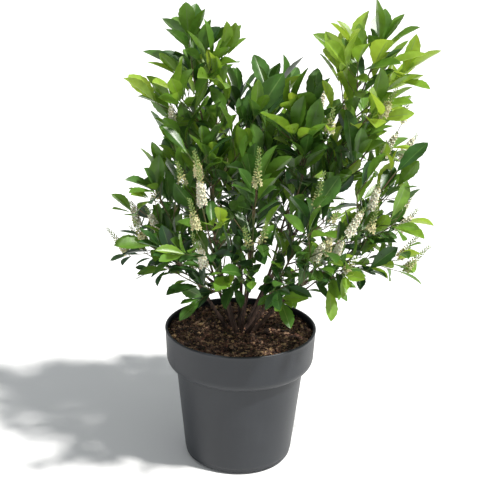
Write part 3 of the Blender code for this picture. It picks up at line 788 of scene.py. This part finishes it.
ALONG_SIZE, ALONG_OPENING = (0.80, 0.30), (62, -22)
ROSETTE_SIZE, ROSETTE_OPENING = (1.15, -0.45), (42, -30)
ROSETTE_SPACING = 0.0035
ROSETTE_ENLARGED = 1.16
ROOT_INSET = 0.0012
SHOOT_SIDES = 5
SHOOT_SEGMENT = 0.006
BUD_SPACING, BUD_SWELL = 0.0145, 0.16
SHOOT_BROWNS = (0.110, 0.085, 0.035), (0.115, 0.070, 0.036), (0.095, 0.125, 0.034)

AXES = np.stack([cut_line(LINES[name], 0.0, run_of(LINES[name])[-1], 19) for name in NAMES])
LIMBS = np.stack([cut_line(LINES[name], 0.0, bare_length(name), 13) for name in NAMES])
LIMB_ROOM = np.array([foot_radius(LINES[name]) for name in NAMES]) + LIMB_CLEARANCE
BOX_LOW, BOX_HIGH = np.array(cad_box[0]) - BOX_MARGIN, np.array(cad_box[1]) + BOX_MARGIN
CROWN_HEART = polar(0, 0.03, 0.44)


def has_room(points, name, margin=SPACE_MARGIN):
    """Whether points lie in a mass's own space: nearer to its leader than to any other, clear of every
    bare limb, well over the pot and inside the whole plant's reach."""
    floor_there = np.where(np.hypot(points[:, 0], points[:, 1]) < OVERHANG, LEAF_FLOOR, LEAF_FLOOR_OUTSIDE)
    if (points[:, 2] < floor_there).any() or (points < BOX_LOW).any() or (points > BOX_HIGH).any():
        return False
    away = distances(points, AXES)
    own = NAMES.index(name)
    nearer = away - away[own]
    nearer[own] = 1.0
    return nearer.min() >= margin and (distances(points, LIMBS).min(axis=1) >= LIMB_ROOM).all()


def vigour(point):
    """How large leaves grow at a point: small low down in the shade, and large in the sun on top."""
    return graded(VIGOUR, min(1.0, max(0.0, (point[2] - SOIL_LEVEL - VIGOUR_FROM) / VIGOUR_SPAN)))


def leaning(way, side, shares):
    """The direction made of shares of a way, of a side and of straight up."""
    return unit(shares[0] * way + shares[1] * side + shares[2] * UP)


def eight_faced(ring, poles):
    """A ring of four points between two poles, which shows where solids would cut each other."""
    faces = [(side, (side + 1) % 4, pole) for side in range(4) for pole in (4, 5)]
    return BVHTree.FromPolygons(ring + poles, faces)


class Leaf:
    """One leaf: its root on a shoot, the blade's direction, face and side, its size and its spray."""

    def __init__(self, spray, root, way, turn, opening, length, roll, slimness, terminal):
        self.spray, self.root, self.terminal = spray, root, terminal
        self.way = leaning(way, aside(way, turn), (math.cos(opening), math.sin(opening), LEAF_WAY_UP))
        face = LEAF_FACE[0] * way + LEAF_FACE[1] * UP
        face = unit(face - (face @ self.way) * self.way)
        self.face = unit(math.cos(roll) * face + math.sin(roll) * np.cross(self.way, face))
        self.side = np.cross(self.way, self.face)
        self.length, self.width = length, length * slimness

    def point(self, share, sideways, up=0.0):
        """The point at a share of the blade's length and of half its width, and at a height over it."""
        return (
            self.root
            + self.way * self.length * share
            + self.side * self.width * 0.5 * sideways
            + self.face * self.length * (LEAF_KEEL * abs(sideways) - LEAF_DROOP * share**2)
            + self.face * up
        )

    def outline(self):
        """Points round the blade's edge and along its rib, where its room is tested."""
        near, far = 0.5 * LEAF_WIDEST, 0.5 * (1.0 + LEAF_WIDEST)
        rib = [(share, 0.0) for share in (near, LEAF_WIDEST, far, 1.0)]
        edge = [(share, side) for share, side in ((near, 0.5), (LEAF_WIDEST, 1.0), (far, 0.5))]
        return np.array([self.point(*spot) for spot in rib + edge + [(share, -side) for share, side in edge]])

    def blade(self):
        """The thin keeled blade of eight faces."""
        spots = ((0.0, 0.0), (LEAF_WIDEST, 1.0), (1.0, 0.0), (LEAF_WIDEST, -1.0))
        poles = [self.point(LEAF_WIDEST, 0.0, up) for up in (BLADE_HALF, -BLADE_HALF)]
        return eight_faced([self.point(*spot) for spot in spots], poles)


class Mass:
    """What grows on one leader: shoots as lines with their radii, leaves by spray, and blossom spikes."""

    def __init__(self, name):
        self.name = name
        self.random = np.random.default_rng(SEED + NAMES.index(name))
        self.late = np.random.default_rng(TWIG_SEED + NAMES.index(name))
        self.shoots, self.side_shoots, self.leaves, self.spikes, self.taken = [], [], [], [], []
        self.sprays = 0
        *_, self.racemes, self.raceme_on_top = LEADERS[name]
        self.grow()
        for shoot in self.side_shoots:
            self.add_twigs(shoot)

    def grow(self):
        line, start = LINES[self.name], bare_length(self.name)
        length = run_of(line)[-1]
        leader = cut_line(line, start + GAP, length, 4 + round((length - start) / LEADER_SEGMENT))
        self.shoots.append((line, start, tip_radius(line), LEADER_TIP_RADIUS))
        if self.raceme_on_top:
            self.add_spike(leader, LEADER_SPIKE, self.random)
        self.add_leaves(leader, LEADER_BARE_FOOT, 3 if self.raceme_on_top else 5, self.random)
        turn = self.random.uniform(0.0, 2.0 * math.pi)
        count = max(3, round(run_of(leader)[-1] / SIDE_SPACING))
        for number in range(count):
            share = SIDE_SHARE[0] + SIDE_SHARE[1] * (number + 0.5) / count
            self.add_side_shoot(leader, share, turn)
            turn += GOLDEN_ANGLE

    def add_side_shoot(self, leader, share, turn):
        """A side shoot from a share of the leader, turned and shortened until it has room, or left out."""
        foot, way = at_share(leader, share)
        vigorous = self.random.uniform(0.85, 1.20)
        for attempt in range(SIDE_TRIES):
            direction = leaning(way, aside(way, turn + SIDE_NUDGE * attempt), SIDE_WAY)
            length = graded(SIDE_LENGTH, share) * vigorous * (1 - SIDE_SHORTER * attempt)
            tip = foot + length * direction + SIDE_RISE * length * UP
            shoot = curve_of(foot, foot + 0.5 * length * direction, tip, SIDE_POINTS)
            if has_room(shoot[1:], self.name):
                break
        else:
            self.random.uniform(size=2)
            return
        self.sprays += 1
        self.side_shoots.append(shoot)
        self.shoots.append((shoot, 0.0, SIDE_FOOT_RADIUS, SIDE_TIP_RADIUS))
        flowering = self.racemes > 0 and direction @ outwards(foot) > 0.1
        if flowering:
            self.racemes -= 1
            self.add_spike(shoot, SIDE_SPIKE, self.random)
        self.add_leaves(shoot, SIDE_BARE_FOOT, 2 if flowering else 4, self.random)

    def add_twigs(self, shoot):
        """Short twigs along a side shoot, by the golden angle, each with a few small leaves. Some end in
        blossom: a share of those that point outwards on the outside of the crown."""
        turn = self.late.uniform(0.0, 2.0 * math.pi)
        for share in TWIG_PLACES:
            foot, way = at_share(shoot, share)
            turn += GOLDEN_ANGLE
            length = TWIG_SHARE * run_of(shoot)[-1] * self.late.uniform(0.75, 1.15)
            direction = leaning(way, aside(way, turn), TWIG_WAY)
            tip = foot + length * (direction + TWIG_RISE * UP)
            twig = curve_of(foot, foot + 0.5 * length * direction, tip, SIDE_POINTS)
            wanted = self.late.uniform()
            if not has_room(twig[1:], self.name):
                continue
            self.sprays += 1
            self.shoots.append((twig, 0.0, SIDE_TIP_RADIUS, TWIG_TIP_RADIUS))
            from_heart = np.linalg.norm((twig[-1] - CROWN_HEART) / CROWN_SIZE)
            in_band = BLOOM_BAND[0] < twig[-1][2] < BLOOM_BAND[1] and from_heart > BLOOM_OUT
            flowering = in_band and direction @ outwards(twig[-1]) > 0.15 and wanted < BLOOM_SHARE
            if flowering:
                self.add_spike(twig, TWIG_SPIKE, self.late)
            self.add_leaves(twig, TWIG_BARE_FOOT, 2 if flowering else 4, self.late)

    def add_spike(self, shoot, size, random):
        """A spike on a shoot's tip that turns upwards, where it has room."""
        foot, way = at_share(shoot, 1.0)
        length = size * random.uniform(*SPIKE_LENGTH)
        direction = unit(SPIKE_WAY[0] * way + SPIKE_WAY[1] * UP)
        ends = [foot, foot + length * direction]
        if has_room(np.array(ends), self.name, SPACE_MARGIN + SPIKE_RADIUS):
            self.spikes.append((foot, direction, length))
            first, second = across(direction)
            spots = (first, second, -first, -second)
            ring = [foot + 0.3 * length * direction + SPIKE_RADIUS * spot for spot in spots]
            self.taken.append(eight_faced(ring, ends))

    def add_leaves(self, shoot, first, at_tip, random):
        """Alternate leaves along a shoot by the golden angle, from the length first on, and a rosette at its
        tip. They grow larger and more upright towards the rosette, whose last ones are the smallest."""
        length = run_of(shoot)[-1]
        turn = random.uniform(0.0, 2.0 * math.pi)
        run = first
        places = []
        while run < length - ROSETTE_SPACING * at_tip:
            share = run / length
            places.append((share, graded(ALONG_SIZE, share), graded(ALONG_OPENING, share), False))
            spacing = LEAF_SPACING * graded((0.62, 0.38), vigour(at_share(shoot, share)[0]))
            run += spacing * random.uniform(0.8, 1.2)
        for number in range(at_tip):
            late = number / max(1, at_tip - 1)
            share = 1.0 - (ROOT_INSET + ROSETTE_SPACING * (at_tip - 1 - number)) / length
            places.append((share, graded(ROSETTE_SIZE, late), graded(ROSETTE_OPENING, late), True))
        for share, size, opening, terminal in places:
            grown, wide, tilt, roll, _ = random.uniform(size=5)
            point, way = at_share(shoot, share)
            size *= LEAF_LENGTH * vigour(point) * graded((0.80, 0.35), grown)
            size *= ROSETTE_ENLARGED if terminal else 1.0
            opening = math.radians(opening) + math.radians(24 * (tilt - 0.5))
            shape = 1.2 * (roll - 0.5), graded(LEAF_SLIMNESS, wide), terminal
            self.add_leaf(point, way, turn, opening, size, *shape)
            turn += GOLDEN_ANGLE

    def add_leaf(self, point, way, turn, opening, size, *shape):
        """A leaf, turned and made smaller until it has room, or left out."""
        for nudge, smaller in LEAF_TRIES:
            leaf = Leaf(self.sprays, point, way, turn + nudge, opening, size * smaller, *shape)
            if not has_room(leaf.outline(), self.name):
                continue
            blade = leaf.blade()
            if not any(blade.overlap(other) for other in self.taken):
                self.leaves.append(leaf)
                self.taken.append(blade)
                return


def hides_blossom(leaf, spikes):
    """Whether a leaf's middle is near the line that runs up and outwards from the middle of a spike: flowers
    open where they are in the light."""
    middle = leaf.point(0.55, 0.0)
    for foot, direction, length in spikes:
        heart = foot + 0.5 * length * direction
        out = unit((heart - polar(0, 0, 0)) * [1.0, 1.0, 0.0] + LIGHT_RISE * UP)
        along = np.clip((middle - heart) @ out, 0.0, LIGHT_RUN)
        if np.linalg.norm(middle - heart - along * out) < BLOOM_CLEAR + BLOOM_WIDER * length * (along > 0):
            return True
    return False


def shoot_tube(line, start, foot, tip):
    """A tapered tube along a shoot, with a low swelling at every leaf and a narrowed tip."""
    length = run_of(line)[-1] - start
    along = np.linspace(0.0, length, 4 + round(length / SHOOT_SEGMENT))
    radii = foot + (tip - foot) * along / length
    radii = radii * (1.0 + BUD_SWELL * np.sin(along / BUD_SPACING * 2 * math.pi) ** 8)
    radii[-1] *= 0.45
    return tube(at_run(line, start + along), radii, SHOOT_SIDES)


MASSES = [Mass(name) for name in NAMES]
spikes = [spike for mass in MASSES for spike in mass.spikes]
for mass in MASSES:
    mass.leaves = [leaf for leaf in mass.leaves if not hides_blossom(leaf, spikes)]

shoot_wood = Finish("shoot_wood", SHOOT_BROWNS[0], 0.7)
shoot_wood.shade(shoot_wood.stepped(shoot_wood.noise(34.0, 3.0), 0.40, 0.62), *SHOOT_BROWNS[1:])
shoot_wood.bump(shoot_wood.noise(900.0, 2.0, (1.0, 1.0, 0.3)), 0.0004)
masses_replaced = [f"foliage_{name}" for name in NAMES]
wood, wood_faces = joined_tubes([shoot_tube(*shoot) for mass in MASSES for shoot in mass.shoots])
make_piece("leafy_shoots", wood, wood_faces, [shoot_wood], stands_for=masses_replaced)

# Leaves
# Thin oval blades, widest just past the middle, with a wedge foot on a short stalk and a pointed tip. Side
# veins sunk between puffed strips give them a quilted gloss, the rim is finely toothed, and the rib is pale.
LEAF_ROWS = 15
LEAF_COLUMNS = np.array([-1.0, -0.52, -0.055, 0.055, 0.52, 1.0])
LEAF_STALK, STALK_HALF = 0.12, 0.00055
LEAF_TAPER = 0.88
LEAF_TEETH = 0.045
VEIN_LEAD = 0.055
QUILT, QUILT_MIDDLE, QUILT_SPREAD = 0.0095, 0.55, 0.4
KEEL, DROOP, CURL = (0.03, 0.13), (0.04, 0.17), (-0.05, 0.05)
WAVE, WAVES = 0.006, 11
LEAF_SEED = 12
# The greens are steps from painted shade to painted sunlight. A leaf's step comes from where it stands
# towards the sun: brighter high up, on the right, at the front and on the outside, darker deep in the crown,
# a step lighter when young, and partly at random.
GREENS = {
    "leaf_shade": (0.014, 0.048, 0.013),
    "leaf_deep": (0.026, 0.078, 0.016),
    "leaf_green": (0.050, 0.130, 0.020),
    "leaf_fresh_and_sunlit": (0.092, 0.205, 0.026),
    "leaf_bright": (0.150, 0.290, 0.034),
    "leaf_young_and_sunlit": (0.230, 0.380, 0.050),
}
LEAF_THIN = (0.12, 0.16, 0.24, 0.32, 0.38, 0.42)
# The rib greens go with the leaf greens two by two, so a rib is darker in painted shade and paler in painted
# sunlight.
RIB_GREENS = ((0.060, 0.130, 0.035), (0.110, 0.200, 0.050), (0.190, 0.300, 0.080))
RIB_THIN = 0.20
LIGHT_HEART, LIGHT_SIZE = polar(0, 0.04, SOIL_LEVEL + 0.16), (0.22, 0.22, 0.30)
LIGHT_GREEN = (0.9, 2.5)
SPRAY_SPREAD, LEAF_SPREAD, YOUNG_LIGHTER = 0.95, 0.35, 0.9


def leaf_greens(random):
    """Which green each leaf has: painted sunlight makes it brighter where its spray is high, to the right,
    to the front and far out, painted shade makes it darker inside, and it is a step lighter when young."""
    picks = []
    for mass in MASSES:
        own = {}
        for leaf in mass.leaves:
            if leaf.spray not in own:
                out = (leaf.root - LIGHT_HEART) / LIGHT_SIZE
                light = 0.55 * out[2] + 0.28 * out[0] - 0.12 * out[1] + 0.55 * np.linalg.norm(out)
                own[leaf.spray] = graded(LIGHT_GREEN, light) + random.normal(0.0, SPRAY_SPREAD)
            lighter = YOUNG_LIGHTER if leaf.terminal else 0.0
            picks.append(own[leaf.spray] + lighter + random.normal(0.0, LEAF_SPREAD))
    return np.clip(np.round(picks), 0, len(GREENS) - 1).astype(int)


def leaf_blades(leaves, random):
    """All blades at once. Half the width is the share of the blade times a power of what is left of it. A
    point is the root, plus the way times the share, plus the side times the half width, plus the face times
    a keel, a droop that grows with the square of the share, a curl, a wave, and the quilt, which changes
    sign from one side vein to the next."""
    count = len(leaves)
    parts = ("way", "face", "side", "root")
    ways, faces, sides, roots = (np.stack([getattr(leaf, part) for leaf in leaves]) for part in parts)
    length = np.array([leaf.length for leaf in leaves])[:, None, None]
    width = np.array([leaf.width for leaf in leaves])[:, None, None]
    rows = np.concatenate([[0.0, 0.5 * LEAF_STALK], np.linspace(LEAF_STALK, 1.0, LEAF_ROWS - 2)])
    share = rows[None, :, None]
    blade = np.clip((share - LEAF_STALK) / (1.0 - LEAF_STALK), 0.0, 1.0)
    column = LEAF_COLUMNS[None, None, :]
    out = np.abs(column)  # from the rib to the rim
    outline = blade * (1.0 - blade) ** LEAF_TAPER
    outline = outline / outline.max()
    in_turn = np.where(np.arange(LEAF_ROWS)[None, :, None] % 2, 1.0, -1.0)
    half = np.maximum(0.5 * width * outline * (1.0 + LEAF_TEETH * in_turn * (out == 1.0)), STALK_HALF)
    lead = VEIN_LEAD * out * np.sin(math.pi * blade)
    keel, droop, curl = (random.uniform(*span, (count, 1, 1)) for span in (KEEL, DROOP, CURL))
    quilt = QUILT * in_turn * np.exp(-(((out - QUILT_MIDDLE) / QUILT_SPREAD) ** 2)) * outline
    start = 6.28 * random.uniform(0, 1, (count, 1, 1))
    wave = WAVE * np.sin(WAVES * share + start) * out * column * outline
    lift = length * (keel * out * outline - droop * share**2 + curl * column * outline * share + quilt + wave)
    along = length * np.clip(share + lead, 0.0, 1.0)
    axes = (along[..., None], ways), ((half * column)[..., None], sides), (lift[..., None], faces)
    return roots[:, None, None] + sum(amount * way[:, None, None] for amount, way in axes)


def leaf_finish(name, green, thin):
    """A waxy skin with a fine cell grain and faint mottle over the green, and light that comes through."""
    leaf = Finish(name, green, 0.40, {"Specular IOR Level": 0.5})
    mottle = leaf.noise(55.0, 4.0)
    leaf.shade(leaf.stepped(mottle, 0.30, 0.70), tinted(green, 0.72), tinted(green, 1.35))
    leaf.set("Roughness", mottle * 0.16 + 0.22)
    leaf.bump(leaf.noise(1900.0, 2.0), 0.0002, 0.5)
    sunlit = tinted((green[0] * 1.25, green[1], green[2] * 0.6), 1.5)
    glow = leaf.node("BsdfTranslucent", inputs={"Color": sunlit})
    skin = Wire(leaf.tree, leaf.shader.outputs["BSDF"])
    both = leaf.node("MixShader", inputs={0: thin, 1: skin, 2: glow})
    leaf.tree.links.new(both.socket, leaf.tree.nodes["Material Output"].inputs["Surface"])
    return leaf


greens = [leaf_finish(name, green, thin) for (name, green), thin in zip(GREENS.items(), LEAF_THIN)]
ribs = [leaf_finish(f"rib_{number + 1}", green, RIB_THIN) for number, green in enumerate(RIB_GREENS)]
random = np.random.default_rng(LEAF_SEED)
# Each leaf's step of painted light, from the shaded green to the sunlit one.
picks = leaf_greens(random)
blades = leaf_blades([leaf for mass in MASSES for leaf in mass.leaves], random)
strips = len(LEAF_COLUMNS) - 1
leaf_face = grid_faces(LEAF_ROWS, len(LEAF_COLUMNS))
order = np.arange(len(leaf_face))
is_rib = (order % strips == strips // 2) | (order < 2 * strips)
for number, name in enumerate(GREENS):
    own = blades[picks == number]
    faces = copied_faces(leaf_face, len(own), LEAF_ROWS * len(LEAF_COLUMNS))
    kinds = np.tile(is_rib.astype(int), len(own))
    make_piece(f"{name}_leaves", own, [faces], [greens[number], ribs[number // 2]], kinds)

# Blossom
# Upright spikes of small five-petalled flowers on short stalks round a slim green stem. The lower ones open
# first, white with a tuft of stamens, and above them are cream buds that turn to green at the tip.
BLOSSOM_SEED = 5
FLORETS_PER_METRE = 1050
FLORET_ANGLE = 2.399963
FLORET_RISE = (0.25, 0.8)
RIPENESS = (0.10, 1.15)
RIPE_DELAY, RIPE_SPREAD, RIPE_WHITE = 0.12, 0.05, 0.55
SPIKE_BEND = 0.06
SPIKE_AXIS = (0.06, 0.94)
SPIKE_OPEN, SPIKE_TAPER = 0.0078, (1.0, -0.62)
STALK_OPEN, STALK_CLOSED, STALK_FOOT = 0.62, 0.5, 0.0012
SPIKE_STEM_RADIUS, SPIKE_STEM_RINGS = (0.0007, -0.0004), 9
FLOWER_SIZE, FLOWER_TAPER = 0.0048, (1.0, -0.25)
BUD_SIZE, BUD_TAPER = 0.0029, (1.05, -0.55)
BUD_RIPE_SHARE, BUD_GREEN_AGE = 0.6, 0.25
PETAL = np.array([
    (0.0, 0.0, 0.0), (0.55, -0.34, 0.10), (0.55, 0.0, 0.02), (0.55, 0.34, 0.10), (1.0, 0.0, 0.20),
])
PETAL_FACES = np.array([(0, 2, 1), (0, 3, 2), (1, 2, 4), (2, 3, 4)])
# The foot's height, the point's height and the radius of the tuft of stamens and of the cup.
TUFT, CUP = (0.06, 0.85, 0.13), (0.10, -1.15, 0.24)
BUD_RINGS, BUD_POINT = ((-1.1, 0.07), (-0.3, 0.40), (0.25, 0.50), (0.8, 0.28)), 1.1
PETALS = {
    "petal_white": (0.74, 0.72, 0.56),
    "stamen_buff": (0.62, 0.50, 0.26),
    "cup_green": (0.30, 0.38, 0.14),
    "petal_cream": (0.58, 0.55, 0.30),
    "bud_cream": (0.46, 0.47, 0.20),
    "bud_green": (0.20, 0.29, 0.07),
}


def floret_shape():
    """Five petals turned by fifths round the axis, a tuft as a slim cone at the middle and a cup as a cone
    below. The kinds are 0 for petals, 1 for the tuft and 2 for the cup."""
    points, faces, kinds = [], [], [0] * 5 * len(PETAL_FACES)
    for fifth in range(5):
        angle = 2 * math.pi * fifth / 5
        cosine, sine = math.cos(angle), math.sin(angle)
        spin = np.array([(cosine, sine, 0), (-sine, cosine, 0), (0, 0, 1)])
        faces.append(PETAL_FACES + 5 * fifth)
        points.append(PETAL @ spin)
    side = np.arange(4)
    for kind, (low, high, wide) in enumerate((TUFT, CUP), 1):
        first = sum(len(group) for group in points)
        points.append(np.concatenate([round_points(wide, side * math.pi / 2, low), [[0.0, 0.0, high]]]))
        cone = np.stack([first + side, first + (side + 1) % 4, np.full(4, first + 4)], axis=-1)
        faces.append(cone if high > low else cone[:, ::-1])
        kinds += [kind] * 4
    return np.concatenate(points), np.concatenate(faces), np.array(kinds)


def bud_shape():
    """A pointed oval on a slim stalk: rings of five points, each ring with its own height and radius, which
    come together in a point."""
    level, radius = np.array(BUD_RINGS).T
    rings = round_points(radius[:, None], np.arange(5) * 2 * math.pi / 5, level[:, None]).reshape(-1, 3)
    faces = grid_faces(len(level), 5, True)
    top = np.stack([15 + np.arange(5), 15 + (np.arange(5) + 1) % 5, np.full(5, 20)], axis=-1)
    triangles = np.concatenate([faces[:, [0, 1, 2]], faces[:, [0, 2, 3]], top])
    return np.concatenate([rings, [[0.0, 0.0, BUD_POINT]]]), triangles, np.zeros(len(triangles), int)


def set_out(shape, random, sizes, places, outward):
    """Copies of a shape at places, each with its axis along its outward way and a turn of its own."""
    points, faces, kinds = shape
    first = unit(np.cross(outward, [0.31, 0.22, 0.92]))
    second = np.cross(outward, first)
    angle = random.uniform(0.0, 2 * math.pi, len(places))[:, None]
    one = np.cos(angle) * first + np.sin(angle) * second
    axes = np.stack([one, np.cross(outward, one), outward], axis=1)
    made = np.einsum("kj,njd->nkd", points, axes) * sizes[:, None, None] + places[:, None]
    return made, [copied_faces(faces, len(places), len(points))], np.tile(kinds, len(places))


def petal_finish(name, colour):
    """A thin matt petal with a faint mottle, which lets light through."""
    petal = Finish(name, colour, 0.55, {"Subsurface Weight": 0.15, "Subsurface Scale": 0.002})
    petal.shade(petal.noise(300.0, 2.0), tinted(colour, 0.86), tinted(colour, 1.08))
    petal.bump(petal.noise(1500.0, 2.0), 0.0002, 0.5)
    return petal


random = np.random.default_rng(BLOSSOM_SEED)
flowers, buds, spike_stems = [], [], []
for foot, direction, length in spikes:
    ripe = random.uniform(*RIPENESS)
    count = round(length * FLORETS_PER_METRE)
    share = (np.arange(count) + 0.5) / count
    first, second = across(direction)
    angle = FLORET_ANGLE * np.arange(count) + random.uniform(0, 6.28)
    side = np.cos(angle)[:, None] * first + np.sin(angle)[:, None] * second
    bend = unit(np.array([direction[0], direction[1], 0.0]) + 1e-6) * SPIKE_BEND * length
    axis = foot + direction * (length * graded(SPIKE_AXIS, share))[:, None] + bend * (share**2)[:, None]
    outward = unit(side + direction * graded(FLORET_RISE, share)[:, None])
    opened = share < ripe - RIPE_DELAY + random.normal(0, RIPE_SPREAD, count)
    reach = SPIKE_OPEN * graded(SPIKE_TAPER, share) * np.where(opened, STALK_OPEN, STALK_CLOSED)
    place = axis + outward * (reach + STALK_FOOT)[:, None]
    sizes = FLOWER_SIZE * graded(FLOWER_TAPER, share[opened])
    flowers.append((sizes, place[opened], outward[opened], np.full(opened.sum(), ripe)))
    closed = ~opened
    sizes = BUD_SIZE * graded(BUD_TAPER, share[closed])
    buds.append((sizes, place[closed], outward[closed], share[closed] - BUD_RIPE_SHARE * ripe))
    rise, along = np.linspace(-0.05, 1.0, SPIKE_STEM_RINGS), np.linspace(0, 1, SPIKE_STEM_RINGS)
    line = foot + direction * (length * rise)[:, None] + bend * (along**2)[:, None]
    spike_stems.append(tube(line, graded(SPIKE_STEM_RADIUS, along), SHOOT_SIDES))

white, stamen, cup, cream, bud_cream, bud_green = (petal_finish(*petal) for petal in PETALS.items())
*flowers, ripe = joined(flowers)
points, faces, kinds = set_out(floret_shape(), random, *flowers)
is_young = np.repeat(ripe <= RIPE_WHITE, len(faces[0]) // len(ripe))
kinds = np.where((kinds == 0) & is_young, 3, kinds)
make_piece("blossom_flowers", points, faces, [white, stamen, cup, cream], kinds)
*buds, age = joined(buds)
points, faces, _ = set_out(bud_shape(), random, *buds)
kinds = np.repeat((age > BUD_GREEN_AGE).astype(int), len(faces[0]) // len(age))
make_piece("blossom_buds", points, faces, [bud_cream, bud_green], kinds)
points, faces = joined_tubes(spike_stems)
make_piece("blossom_stems", points, faces, [cup])
